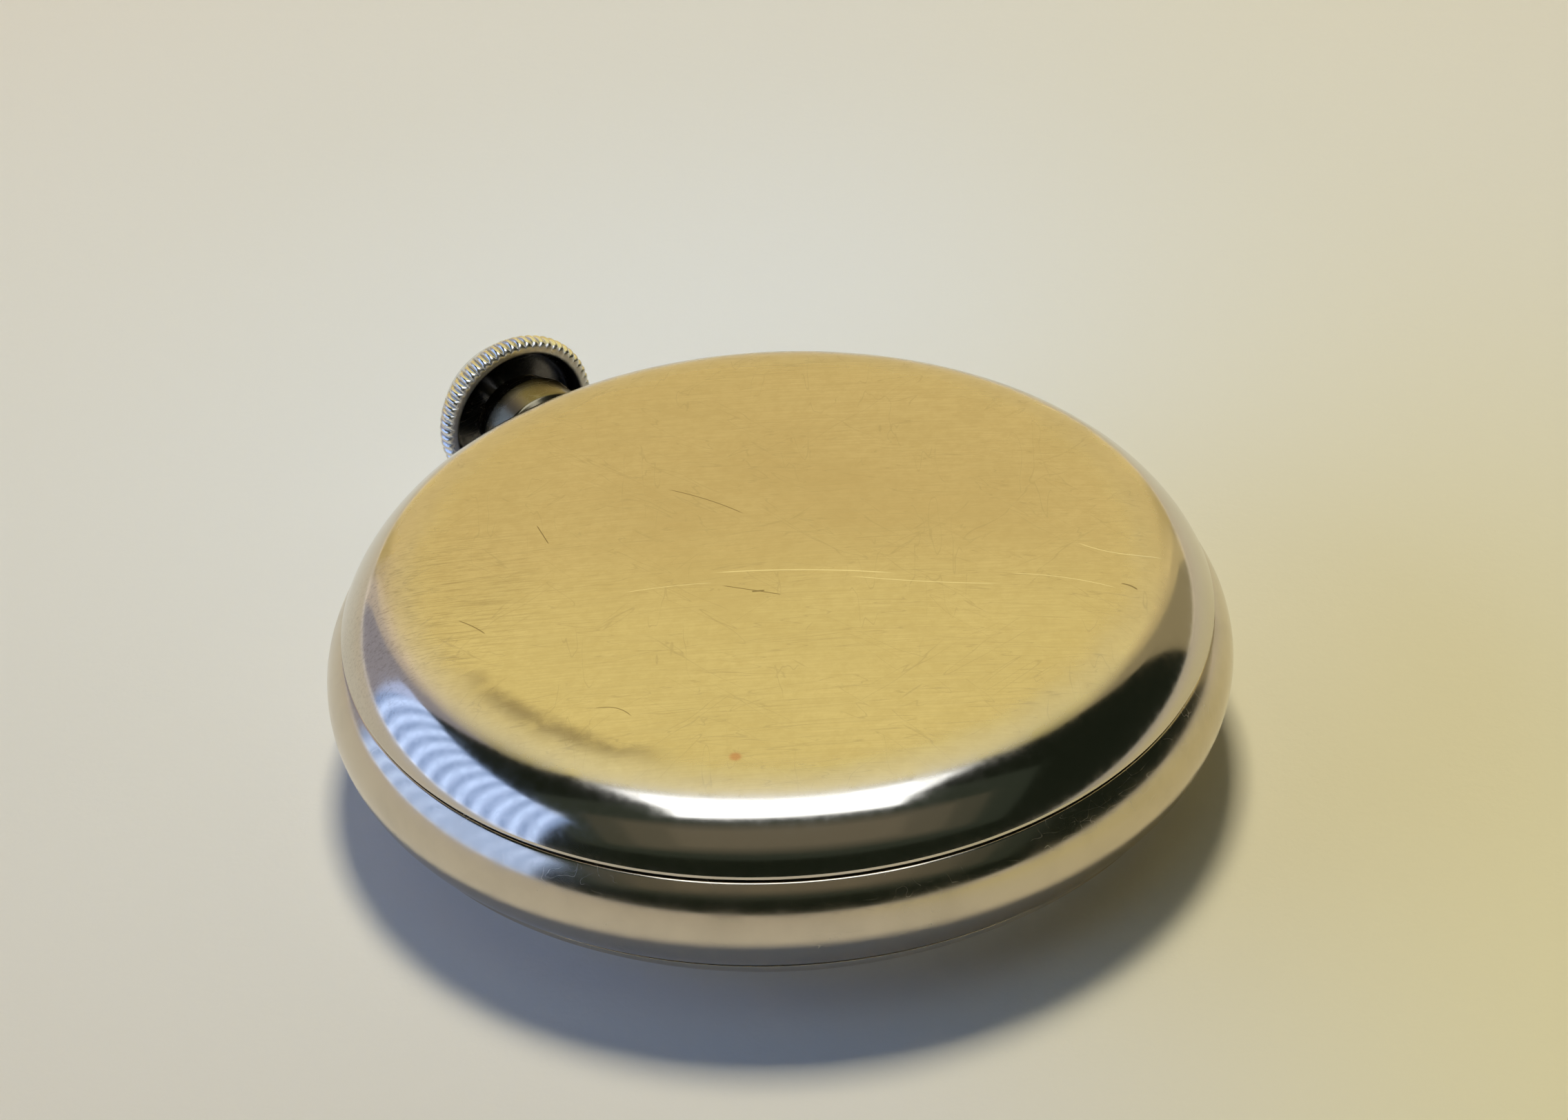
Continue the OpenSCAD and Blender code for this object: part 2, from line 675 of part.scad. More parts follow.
// Club-tooth escape wheel, with each stone of the pallet fork a quarter pitch from a tooth
module escape_wheel() color("gold") at(escape_at, escape_wheel_z, pallet_bearing) linear_extrude(wheel_t)
    difference() {
        polygon([
            for (i = [0:escape_teeth - 1], k = [0:3])
                on_circle(k == 1 || k == 2 ? escape_r : 2.75,
                          i * 360 / escape_teeth + [-4, -1.2, 1.2, 6][k])
        ]);
        circle(r = 0.3);
        difference() {
            circle(r = 2.3);
            circle(r = 0.8);
            for (i = [0:4])
                rotate([0, 0, i * 72]) translate([0, -0.15]) square([3, 0.3]);
        }
    }

module escape_pinion() color("silver") {
    disc(escape_at, 0.11, 5.65, 6.1);
    disc(escape_at, 0.3, 6.1, 8.3);
    at(escape_at, 7.45, bearing(escape_at, fourth_at) + 180 / escape_leaves) linear_extrude(0.5)
        leaf_teeth(escape_leaves, fourth_module);
    disc(escape_at, 0.11, 8.3, train_bridge_top_z - 0.1);
}

// ---------- escapement and balance ----------

stone_turn = 30;
stone_l = 1.2;
stone_w = 0.6;
module pallet_stones() color("crimson") for (side = [-1, 1])
    at(escape_at, escape_wheel_z - 0.1, pallet_bearing + side * stone_turn)
        translate([escape_r + 0.06, -stone_w / 2, 0]) cube([stone_l, stone_w, 0.4]);

module pallet_fork() color("silver") {
    stone_at = [for (side = [-1, 1]) from(escape_at, escape_r + 1.1, pallet_bearing + side * stone_turn)];
    fork_end = from(pallet_at, fork_length - 0.6, fork_bearing);
    difference() {
        at([0, 0], escape_wheel_z) linear_extrude(wheel_t) {
            for (s = stone_at) {
                bar(pallet_at, s, 0.8);
                translate(s) circle(r = 0.65);
            }
            bar(pallet_at, fork_end, 0.5);
            translate(pallet_at) rotate([0, 0, fork_bearing]) translate([fork_length - 0.9, -0.5])
                square([1.15, 1.0]);
        }
        // Slot for the impulse pin
        at(pallet_at, 0, fork_bearing) translate([fork_length - 0.45, -0.17, 0]) cube([2, 0.34, 20]);
        for (side = [-1, 1])
            at(escape_at, 0, pallet_bearing + side * stone_turn)
                translate([escape_r + 0.06 - 1, -stone_w / 2, 0]) cube([1 + stone_l, stone_w, 20]);
    }
    disc(pallet_at, 0.11, 5.65, 6.2);
    disc(pallet_at, 0.3, 6.2, 7.5);
    disc(pallet_at, 0.11, 7.5, 8.15);
}

module balance_wheel() color("gold") at(balance_at, balance_z) {
    difference() {
        cylinder(r = balance_r - 0.5, h = balance_rim_h);
        translate([0, 0, -1]) cylinder(r = balance_r - 1.2, h = 3);
    }
    translate([0, 0, 0.2]) linear_extrude(0.3) difference() {
        union() {
            rotate([0, 0, fork_bearing]) square([2 * balance_r - 2, 0.9], center = true);
            circle(r = 1.3);
        }
        circle(r = 0.4);
    }
}

module timing_screws() color("gold") for (i = [0:13])
    at(balance_at, balance_z + 0.35, (i + 0.5) * 360 / 14) rotate([0, 90, 0])
        translate([0, 0, balance_r - 0.5]) cylinder(r = 0.3, h = 0.5, $fn = 24);

module balance_staff() color("silver") {
    disc(balance_at, 0.09, 5.65, 6.2);
    disc(balance_at, 0.35, 6.2, 9.9);
    disc(balance_at, 0.09, 9.9, cock_top_z - 0.05);
    disc(balance_at, 1.2, 7.3, 7.6);
    disc(from(balance_at, impulse_r, fork_bearing + 180), 0.14, 6.9, 7.3);
    disc(balance_at, 0.65, 9.35, 9.75);
}

stud_at = from(balance_at, 3.4, bearing(balance_at, cock_foot));

module hairspring() color("royalblue") at(balance_at, hairspring_z, bearing(balance_at, cock_foot))
    linear_extrude(0.2) spiral(0.75, 3.4, 7, 0.09, 24);

module hairspring_stud() color("slategray") difference() {
    disc(stud_at, 0.28, hairspring_z, cock_top_z + 0.1);
    at(balance_at, 0, bearing(balance_at, cock_foot)) translate([0, 0, hairspring_z - 0.01])
        linear_extrude(0.22) difference() {
            circle(r = 3.47);
            circle(r = 3.3);
        }
}

module regulator() color("silver") difference() {
    at(balance_at, cock_top_z + gap) linear_extrude(0.2) {
        circle(r = 1.5);
        bar([0, 0], on_circle(4.2, bearing(balance_at, cock_foot) - 28), 0.6);
    }
    disc(balance_at, 0.7, 0, 20);
}

// ---------- motion work, dial and hands ----------

module cannon_pinion() color("silver") difference() {
    union() {
        disc(centre_at, 0.75, 1.4, 3.75);
        at(centre_at, 3.75, 90 + 180 / 12) linear_extrude(0.4) leaf_teeth(12, motion_module);
    }
    disc(centre_at, 0.46, 0, 6);
}

module minute_wheel() color("gold") difference() {
    union() {
        at(minute_wheel_at, 3.8, -90) linear_extrude(0.2) wheel_teeth(36, motion_module);
        at(minute_wheel_at, 3.42, -90 + 18) linear_extrude(0.4) leaf_teeth(10, hour_module);
    }
    disc(minute_wheel_at, 0.25, 3, 5);
}

module hour_wheel() color("gold") difference() {
    union() {
        at(centre_at, 3.45, 90) linear_extrude(0.2) wheel_teeth(40, hour_module);
        disc(centre_at, 1.15, 1.9, 3.5);
    }
    disc(centre_at, 0.8, 0, 6);
}

module dial() color("ivory") difference() {
    disc([0, 0], dial_r, dial_z, dial_z + dial_t);
    disc(centre_at, 1.3, 0, 6);
    disc(fourth_at, 0.45, 0, 6);
    disc(fourth_at, 4.3, 0, dial_z + 0.12);
}

// Leaf-shaped hand that points to twelve
module hand(p, z, length, w, eye_r, bore_r, direction) at(p, z, direction) linear_extrude(0.15) difference() {
    union() {
        circle(r = eye_r);
        polygon([[0, -w / 3], [length * 0.7, -w / 2], [length, 0], [length * 0.7, w / 2], [0, w / 3]]);
    }
    circle(r = bore_r);
}

module hour_hand() color("midnightblue") hand(centre_at, 1.9, 10.5, 1.3, 1.7, 1.15, 145);
module minute_hand() color("midnightblue") hand(centre_at, 1.45, 15.5, 0.9, 1.3, 0.75, 35);
module second_hand() color("midnightblue") hand(fourth_at, 2.25, 3.8, 0.3, 0.5, 0.16, 60);

case_middle();
pendant();
pendant_sleeve();
back_cover();
back_gasket();
bezel();
bezel_gasket();
crystal();
crown();
winding_stem();
main_plate();
barrel_bridge();
train_bridge();
balance_cock();
pallet_cock();
case_screws();
barrel_bridge_screws();
train_bridge_screws();
cock_screws();
train_jewels();
balance_jewels();
winding_pinion();
clutch_wheel();
crown_wheel();
crown_wheel_screw();
ratchet_wheel();
ratchet_screw();
click();
click_spring();
setting_lever();
yoke();
yoke_spring();
setting_wheel();
mainspring_barrel();
barrel_cover();
barrel_arbor();
mainspring();
centre_wheel();
centre_pinion();
third_wheel();
third_pinion();
fourth_wheel();
fourth_pinion();
escape_wheel();
escape_pinion();
pallet_fork();
pallet_stones();
balance_wheel();
timing_screws();
balance_staff();
hairspring();
hairspring_stud();
regulator();
cannon_pinion();
minute_wheel();
hour_wheel();
dial();
hour_hand();
minute_hand();
second_hand();
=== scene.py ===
"""Looks of an open-face pocket watch that lies on its crystal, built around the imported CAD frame."""
import json
import math

import bmesh
import bpy
from mathutils import Matrix, Vector


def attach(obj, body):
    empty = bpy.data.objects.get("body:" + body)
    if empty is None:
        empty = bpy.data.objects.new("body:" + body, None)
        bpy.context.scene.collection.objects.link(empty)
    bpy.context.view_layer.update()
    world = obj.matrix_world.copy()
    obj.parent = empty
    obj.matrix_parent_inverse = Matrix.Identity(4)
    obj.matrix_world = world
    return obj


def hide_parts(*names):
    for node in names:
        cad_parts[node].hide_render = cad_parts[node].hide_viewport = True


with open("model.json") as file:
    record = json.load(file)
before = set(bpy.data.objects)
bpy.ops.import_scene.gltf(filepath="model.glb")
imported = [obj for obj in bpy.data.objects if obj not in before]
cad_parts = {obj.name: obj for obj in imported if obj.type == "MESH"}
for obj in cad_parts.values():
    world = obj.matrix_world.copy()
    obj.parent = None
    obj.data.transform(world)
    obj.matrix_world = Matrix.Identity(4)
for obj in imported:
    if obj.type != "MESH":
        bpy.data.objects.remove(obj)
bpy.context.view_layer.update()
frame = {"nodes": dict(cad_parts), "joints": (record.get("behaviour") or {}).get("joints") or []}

# Outlines are (r, z) points in millimetres. In the watch's own, the crystal's outside is at z = 0, and the
# stem points along +Y; in those of the pendant and crown, z runs out along the stem.
# Sizes in materials and of lights are in metres.
MM = 0.001
TAU = 2 * math.pi
ON_AXIS = 1e-6
SHARP_ANGLE = 32
CASE_R = 25.0
STEM_Z = 6.0
THREAD_PITCH, THREAD_DEPTH, THREAD_ROWS = 0.5, 0.12, 10
scene = bpy.context.scene
joint_at = {joint["child"]: joint["pos_m"] for joint in frame["joints"] if "pos_m" in joint}


# ---------- mesh tools ----------

def arc(cr, cz, radius, start, end, steps):
    """Points of an arc in a half outline, angles in degrees."""
    return [
        (cr + radius * math.cos(a), cz + radius * math.sin(a))
        for a in (math.radians(start + (end - start) * i / steps) for i in range(steps + 1))
    ]


def rounded(corners, steps=5):
    """A closed outline from (r, z, radius) corners, each rounded to its radius."""
    out = []
    count = len(corners)
    for i, (r, z, radius) in enumerate(corners):
        here = Vector((r, z))
        if radius <= 0:
            out.append((r, z))
            continue
        before = Vector(corners[i - 1][:2]) - here
        after = Vector(corners[(i + 1) % count][:2]) - here
        half = before.angle(after) / 2
        most = 0.49 * min(before.length, after.length)
        reach = min(radius / math.tan(half), most)
        a, b = here + before.normalized() * reach, here + after.normalized() * reach
        for k in range(steps + 1):
            t = k / steps
            p = a * (1 - t) ** 2 + here * 2 * t * (1 - t) + b * t * t
            out.append((p.x, p.y))
    return out


def thread_rows(r, z0, z1, side):
    """(r, z, depth) rows of a screw thread: side is 1 where grooves go outwards and -1 where they go inwards.

    The grooves fade in and out over a fifth of their length at each end.
    """
    rows = []
    count = max(2, int(round((z1 - z0) / THREAD_PITCH * THREAD_ROWS)))
    for i in range(count + 1):
        t = i / count
        fade = min(1, t * 5, (1 - t) * 5)
        rows.append((r, z0 + (z1 - z0) * t, THREAD_DEPTH * fade * side))
    return rows


def make_object(name, bm, sharp=SHARP_ANGLE):
    """A smooth-shaded object from a bmesh in millimetres, with its hard edges kept."""
    bmesh.ops.recalc_face_normals(bm, faces=bm.faces)
    bmesh.ops.scale(bm, vec=(MM, MM, MM), verts=bm.verts)
    mesh = bpy.data.meshes.new(name)
    bm.to_mesh(mesh)
    bm.free()
    mesh.polygons.foreach_set("use_smooth", [True] * len(mesh.polygons))
    mesh.set_sharp_from_angle(angle=math.radians(sharp))
    obj = bpy.data.objects.new(name, mesh)
    scene.collection.objects.link(obj)
    return obj


def lathe(outline, segments, ripple=None, turn=None):
    """A solid of revolution about Z from a closed outline of (r, z) points and (r, z, depth) thread rows.

    ripple gives what is added to the radius at a point, and turn moves the finished solid.
    """
    bm = bmesh.new()
    rings = []
    for index, (r, z, *depth) in enumerate(outline):
        if r < ON_AXIS:
            rings.append([bm.verts.new((0, 0, z))])
            continue
        ring = []
        for k in range(segments):
            angle = TAU * k / segments
            reach = r
            if depth:
                phase = (z / THREAD_PITCH - k / segments) % 1.0
                reach = r + depth[0] * (1 - abs(2 * phase - 1))
            if ripple:
                reach += ripple(index, r, z, angle)
            ring.append(bm.verts.new((reach * math.cos(angle), reach * math.sin(angle), z)))
        rings.append(ring)
    for i, one in enumerate(rings):
        two = rings[(i + 1) % len(rings)]
        if len(one) == 1 and len(two) == 1:
            continue
        for k in range(segments):
            n = (k + 1) % segments
            if len(one) == 1:
                bm.faces.new((one[0], two[k], two[n]))
            elif len(two) == 1:
                bm.faces.new((one[k], two[0], one[n]))
            else:
                bm.faces.new((one[k], two[k], two[n], one[n]))
    if turn is not None:
        bmesh.ops.transform(bm, matrix=turn, verts=bm.verts)
    return bm


def slab(r0, r1, z0, z1, corner):
    """Outline of a flat ring with rounded edges."""
    return rounded([(r0, z0, corner), (r1, z0, corner), (r1, z1, corner), (r0, z1, corner)], 3)


def moved(x, y):
    """Moves in the plane of the dial."""
    return Matrix.Translation((x, y, 0))


def on_stem(y):
    """Turns +Z to +Y and moves to the stem axis at that y."""
    return Matrix.Translation((0, y, STEM_Z)) @ Matrix.Rotation(math.radians(-90), 4, "X")


def cut(target, cutters):
    """Takes solids away from an object; the cutters are removed."""
    for cutter in cutters:
        modifier = target.modifiers.new("cut", "BOOLEAN")
        modifier.operation, modifier.solver, modifier.object = "DIFFERENCE", "EXACT", cutter
        evaluated = target.evaluated_get(bpy.context.evaluated_depsgraph_get())
        mesh = bpy.data.meshes.new_from_object(evaluated)
        target.modifiers.clear()
        target.data = mesh
        bpy.data.objects.remove(cutter)
    target.data.set_sharp_from_angle(angle=math.radians(SHARP_ANGLE))
    return target


def place(obj, body, slot_name, *nodes, material):
    """Puts a piece on its body, in place of CAD nodes, with its material; the slot name is not used."""
    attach(obj, body)
    if nodes:
        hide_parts(*nodes)
    obj.data.materials.clear()
    obj.data.materials.append(material)


# ---------- material tools ----------

class Nodes:
    """Short calls that build a material's node tree."""

    def __init__(self, name):
        self.material = bpy.data.materials.new(name)
        self.material.use_nodes = True
        self.tree = self.material.node_tree
        self.shader = self.tree.nodes["Principled BSDF"]
        self.position = self.tree.nodes.new("ShaderNodeTexCoord").outputs["Object"]

    def add(self, kind, **inputs):
        node = self.tree.nodes.new(kind)
        for key, value in inputs.items():
            self.feed(node.inputs[key], value)
        return node

    def feed(self, socket, value):
        if isinstance(value, bpy.types.NodeSocket):
            self.tree.links.new(value, socket)
        elif value is not None:
            socket.default_value = value

    def math(self, operation, a, b=None, c=None):
        node = self.tree.nodes.new("ShaderNodeMath")
        node.operation = operation
        for socket, value in zip(node.inputs, (a, b, c)):
            self.feed(socket, value)
        return node.outputs[0]

    def ramp(self, value, low, high, out_low=0.0, out_high=1.0, smooth=True):
        node = self.tree.nodes.new("ShaderNodeMapRange")
        node.interpolation_type = "SMOOTHSTEP" if smooth else "LINEAR"
        for socket, item in zip(node.inputs, (value, low, high, out_low, out_high)):
            self.feed(socket, item)
        return node.outputs[0]

    def fold(self, operation, first, *more):
        for value in more:
            first = self.math(operation, first, value)
        return first

    def product(self, *values):
        return self.fold("MULTIPLY", *values)

    def strongest(self, *values):
        return self.fold("MAXIMUM", *values)

    def axes(self, vector=None):
        """The x, y and z of a vector, or of the object position."""
        split = self.add("ShaderNodeSeparateXYZ")
        self.feed(split.inputs[0], vector or self.position)
        return split.outputs[0], split.outputs[1], split.outputs[2]

    def mapped(self, angle=0, scale=(1, 1, 1), shift=(0, 0, 0)):
        """Object position turned about Z by an angle in degrees and stretched."""
        turn = self.add("ShaderNodeMapping", Rotation=(0, 0, math.radians(angle)), Location=shift)
        self.feed(turn.inputs["Vector"], self.position)
        stretch = self.add("ShaderNodeVectorMath")
        stretch.operation = "MULTIPLY"
        self.feed(stretch.inputs[0], turn.outputs[0])
        self.feed(stretch.inputs[1], scale)
        return stretch.outputs[0]

    def noise(self, scale, detail=3.0, rough=0.55, vector=None):
        node = self.add("ShaderNodeTexNoise", Scale=scale, Detail=detail, Roughness=rough)
        self.feed(node.inputs["Vector"], vector or self.position)
        return node.outputs["Fac"]

    def cells(self, scale):
        """Distance to the nearest of scattered points."""
        node = self.add("ShaderNodeTexVoronoi", Scale=scale, Vector=self.position)
        return node.outputs["Distance"]

    def mix(self, factor, a, b):
        node = self.tree.nodes.new("ShaderNodeMix")
        node.data_type = "RGBA"
        self.feed(node.inputs[0], factor)
        self.feed(node.inputs[6], (*a, 1) if isinstance(a, tuple) else a)
        self.feed(node.inputs[7], (*b, 1) if isinstance(b, tuple) else b)
        return node.outputs[2]

    def mix_value(self, factor, a, b):
        """Mixes two numbers, where mix() mixes colours."""
        node = self.tree.nodes.new("ShaderNodeMix")
        node.data_type = "FLOAT"
        for index, value in ((0, factor), (2, a), (3, b)):
            self.feed(node.inputs[index], value)
        return node.outputs[0]

    def bump(self, height, distance, strength=1.0):
        return self.add("ShaderNodeBump", Height=height, Distance=distance, Strength=strength).outputs[0]

    def hairlines(self, angle, across, along, width, amount, shift):
        """Thin scratches along one direction: sizes in metres, amount 0 to 1."""
        lines = self.noise(1.0, 1.5, 0.5, self.mapped(angle, (1 / along, 1 / across, 1 / across), shift))
        near = self.math("ABSOLUTE", self.math("SUBTRACT", lines, 0.5))
        thin = self.ramp(near, 0.0, width, 1.0, 0.0)
        where = self.noise(1.0, 1.0, 0.5, self.mapped(angle, (0.6 / along, 3 / along, 3 / along), shift))
        return self.product(thin, self.ramp(where, 1 - amount, 1.04 - amount))

    def stroke(self, x0, y0, x1, y1, width, bend=0.0):
        """A tapered mark from one point of the back to another, in millimetres; bend is its sag."""
        dx, dy = x1 - x0, y1 - y0
        half, angle = math.hypot(dx, dy) / 2 * MM, math.atan2(dy, dx)
        cos, sin = math.cos(angle), math.sin(angle)
        x, y, _ = self.axes()
        px = self.math("SUBTRACT", x, (x0 + x1) / 2 * MM)
        py = self.math("SUBTRACT", y, (y0 + y1) / 2 * MM)
        along = self.math("DIVIDE", self.math("MULTIPLY_ADD", px, cos, self.product(py, sin)), half)
        off = self.math("MULTIPLY_ADD", px, -sin, self.product(py, cos))
        squared = self.product(along, along)
        off = self.math("MULTIPLY_ADD", squared, bend * MM, off)
        across = self.ramp(self.math("ABSOLUTE", off), 0.0, width * MM, 1.0, 0.0)
        return self.product(across, self.ramp(squared, 0.55, 1.0, 1.0, 0.0))

    def radius(self, a=0.0, b=0.0, use=(0, 1)):
        """Distance from the line at a, b in metres, across the two axes in use."""
        position = self.axes()
        da = self.math("SUBTRACT", position[use[0]], a)
        db = self.math("SUBTRACT", position[use[1]], b)
        return self.math("SQRT", self.math("MULTIPLY_ADD", da, da, self.product(db, db)))

    def finish(self, color, roughness, normal, **fixed):
        """Feeds the shader; fixed values are set on its own sockets."""
        self.feed(self.shader.inputs["Base Color"], color)
        self.feed(self.shader.inputs["Roughness"], roughness)
        self.feed(self.shader.inputs["Normal"], normal)
        for key, value in fixed.items():
            self.shader.inputs[key.replace("_", " ")].default_value = value
        return self.material


NICKEL = (0.67, 0.61, 0.52)
BAND_NICKEL = (0.66, 0.58, 0.46)
# Painted shade: the pendant's nickel is far darker than the band's, because the pendant sits in shade under
# the crown.
PENDANT_SHADED_NICKEL = (0.18, 0.155, 0.10)


def scaled(color, factor):
    """A lighter or darker shade of a colour."""
    return tuple(min(1, c * factor) for c in color)


def polished_nickel(name, tone, rough, seed):
    """Polished base metal with swirls of hairlines, faint stains and soft wear."""
    n = Nodes(name)
    shift = (seed, seed * 0.7, seed * 0.3)
    wear = n.noise(260, 5, 0.6, n.mapped(0, (1, 1, 1), shift))
    fine = n.noise(2600, 3, 0.6, n.mapped(0, (1, 1, 2.2), shift))
    lines = n.strongest(
        n.hairlines(8, 0.0009, 0.012, 0.006, 0.50, shift),
        n.hairlines(97, 0.0011, 0.009, 0.006, 0.46, (seed + 0.01, 0.02, 0)),
        n.hairlines(48, 0.0012, 0.010, 0.005, 0.44, (seed + 0.03, 0.01, 0)),
    )
    scratched = (0.82, 0.80, 0.76)
    color = n.mix(n.ramp(wear, 0.35, 0.75), tone, scaled(tone, 0.90))
    color = n.mix(n.product(lines, 0.10), color, scratched)
    base = n.ramp(wear, 0.3, 0.8, rough * 0.8, rough * 1.7)
    rough_all = n.math("MULTIPLY_ADD", lines, 0.10, n.math("MULTIPLY_ADD", fine, rough * 0.5, base))
    height = n.math("MULTIPLY_ADD", lines, -0.3, n.product(fine, 0.25))
    return n.finish(color, rough_all, n.bump(height, 0.0000015), Metallic=1.0)


def back_marks(n):
    """Single scratches of the back as a bright and a dark mask, placed one by one in millimetres."""
    bright = n.strongest(
        n.stroke(-4.1, -0.2, 4.2, -6.0, 0.075, 0.25),
        n.stroke(1.6, -5.1, 8.2, -10.2, 0.05, -0.2),
        n.stroke(9.3, -9.2, 13.6, -13.4, 0.04, 0.3),
        n.stroke(-9.0, 1.0, -4.5, -1.2, 0.035, 0.1),
        n.stroke(13.5, -9.2, 17.0, -12.6, 0.05, -0.5),
    )
    dark = n.strongest(
        n.stroke(-4.4, -1.7, -2.1, -4.4, 0.055),
        n.stroke(-3.35, -3.15, -2.7, -3.5, 0.11),
        n.stroke(13.8, -13.2, 14.3, -14.1, 0.09, 0.1),
        n.stroke(-17.2, 4.4, -16.6, 2.3, 0.06, 0.1),
        n.stroke(-15.0, -6.6, -13.7, -8.4, 0.05, 0.4),
        n.stroke(-1.8, 8.2, 0.4, 3.4, 0.05, 0.2),
        n.stroke(-9.5, 9.5, -9.9, 7.4, 0.05),
    )
    return bright, dark


def back_finish():
    """The case back: satin disc with the wear of carrying, polished shoulder and lip."""
    n = Nodes("case_back_metal")
    r = n.radius()
    edge = n.noise(420, 4, 0.6)
    r_soft = n.math("MULTIPLY_ADD", n.math("SUBTRACT", edge, 0.5), 0.0016, r)
    satin = n.ramp(r_soft, 0.0200, 0.0216, 1.0, 0.0)
    brush = n.noise(1.0, 3, 0.65, n.mapped(30, (160, 7000, 7000)))
    cross_brush = n.noise(1.0, 3, 0.6, n.mapped(24, (420, 5200, 5200), (0.01, 0, 0)))
    cloud = n.noise(150, 5, 0.62)
    fleck = n.noise(1500, 4, 0.65)
    mottle = n.ramp(n.noise(1300, 6, 0.72), 0.38, 0.66)
    patch = n.product(n.ramp(n.noise(70, 4, 0.6), 0.38, 0.66), n.ramp(r, 0.006, 0.017, 1.0, 0.25))

    hair = n.strongest(
        n.hairlines(27, 0.0006, 0.011, 0.010, 0.55, (0.0, 0.0, 0)),
        n.hairlines(38, 0.0009, 0.008, 0.008, 0.52, (0.021, 0.013, 0)),
        n.hairlines(75, 0.0011, 0.009, 0.008, 0.47, (0.043, 0.017, 0)),
        n.hairlines(-14, 0.0012, 0.010, 0.008, 0.48, (0.011, 0.051, 0)),
        n.hairlines(121, 0.0012, 0.007, 0.008, 0.45, (0.017, 0.031, 0)),
    )
    hair = n.product(hair, n.math("MULTIPLY_ADD", satin, 0.7, 0.12))
    bright, dark = back_marks(n)

    # A dark arc of dirt along one side of the disc, a rubbed place beside it and one red spot.
    x, y, _ = n.axes()
    around = n.math("ARCTAN2", y, x)
    sector = n.product(n.ramp(around, -2.62, -2.35, 1.0, 0.0), n.ramp(around, -3.3, -2.9))
    ring = n.ramp(n.math("ABSOLUTE", n.math("SUBTRACT", r_soft, 0.0191)), 0.0, 0.0011, 1.0, 0.0)
    smudge = n.product(ring, sector, n.ramp(edge, 0.25, 0.55, 0.35, 1.0))
    rubbed = n.ramp(n.radius(-19 * MM, 7 * MM), 0.002, 0.010, 1.0, 0.0)
    rubbed = n.product(rubbed, n.ramp(brush, 0.45, 0.75))
    spot = n.ramp(n.radius(-11.33 * MM, -14.53 * MM), 0.00015, 0.00045, 1.0, 0.0)
    dirt = n.strongest(n.product(dark, 0.85), n.product(smudge, 0.55), n.product(rubbed, 0.35))

    layers = (
        (n.product(patch, satin), (0.60, 0.53, 0.43)),
        (n.product(mottle, satin, 0.45), (0.55, 0.48, 0.37)),
        (n.product(n.ramp(brush, 0.3, 0.7), satin, 0.5), (0.56, 0.50, 0.41)),
        (n.product(hair, 0.42), (0.42, 0.37, 0.29)),
        (n.product(bright, 0.8), (0.95, 0.93, 0.88)),
        (dirt, (0.16, 0.12, 0.08)),
        (n.product(spot, 0.5), (0.50, 0.16, 0.09)),
    )
    color = n.mix(n.ramp(cloud, 0.35, 0.7), NICKEL, (0.64, 0.585, 0.49))
    for amount, tone in layers:
        color = n.mix(amount, color, tone)

    satin_rough = n.math("MULTIPLY_ADD", cloud, 0.05, n.ramp(brush, 0.2, 0.8, 0.115, 0.155))
    satin_rough = n.math("ADD", satin_rough, n.ramp(r_soft, 0.0180, 0.0203, 0.0, 0.20))
    shiny_rough = n.ramp(fleck, 0.3, 0.8, 0.08, 0.13)
    shiny_rough = n.math("ADD", shiny_rough, n.ramp(r_soft, 0.0207, 0.0223, 0.20, 0.02))
    rough = n.mix_value(satin, shiny_rough, satin_rough)
    rough = n.math("MULTIPLY_ADD", n.strongest(hair, bright, smudge), 0.10, rough)

    lines = n.product(n.math("ADD", brush, n.product(cross_brush, 0.8)), satin)
    height = n.math("MULTIPLY_ADD", n.strongest(hair, bright, dark), -0.4, n.product(lines, 0.10))
    height = n.math("MULTIPLY_ADD", n.product(fleck, satin), 0.08, height)
    return n.finish(color, rough, n.bump(height, 0.0000016), Metallic=1.0)


def crown_finish():
    """Nickel with dirt in the flutes and bright tips, and painted shade inside the crown's cavity."""
    n = Nodes("crown_metal")
    _, y, _ = n.axes()
    r = n.radius(0.0, STEM_Z * MM, (0, 2))
    low = n.ramp(r, 0.00462, 0.00492, 1.0, 0.0)
    grip = n.ramp(y, 0.0304, 0.0308, 1.0, 0.0)
    dirt = n.product(low, grip, n.ramp(n.noise(1800, 4), 0.3, 0.6, 0.35, 0.9))
    # Painted shade: the inside of the crown's cavity is darkened almost to black.
    cavity_shade = n.product(n.ramp(r, 0.00415, 0.0044, 1.0, 0.0), n.ramp(y, 0.0315, 0.0320, 1.0, 0.0))
    wear = n.noise(700, 4, 0.6)
    fine = n.noise(5200, 3, 0.6)
    lines = n.hairlines(0, 0.0003, 0.004, 0.02, 0.5, (0.2, 0.1, 0))
    color = n.mix(n.ramp(wear, 0.3, 0.7), (0.74, 0.73, 0.69), (0.66, 0.64, 0.60))
    color = n.mix(n.product(dirt, 0.35), color, (0.10, 0.08, 0.06))
    color = n.mix(n.product(cavity_shade, 0.92), color, (0.045, 0.038, 0.030))
    rough = n.math("MULTIPLY_ADD", dirt, 0.25, n.ramp(fine, 0.3, 0.8, 0.16, 0.26))
    rough = n.math("MULTIPLY_ADD", lines, 0.12, rough)
    height = n.math("ADD", wear, n.product(fine, 0.4))
    return n.finish(color, rough, n.bump(height, 0.000006), Metallic=1.0)


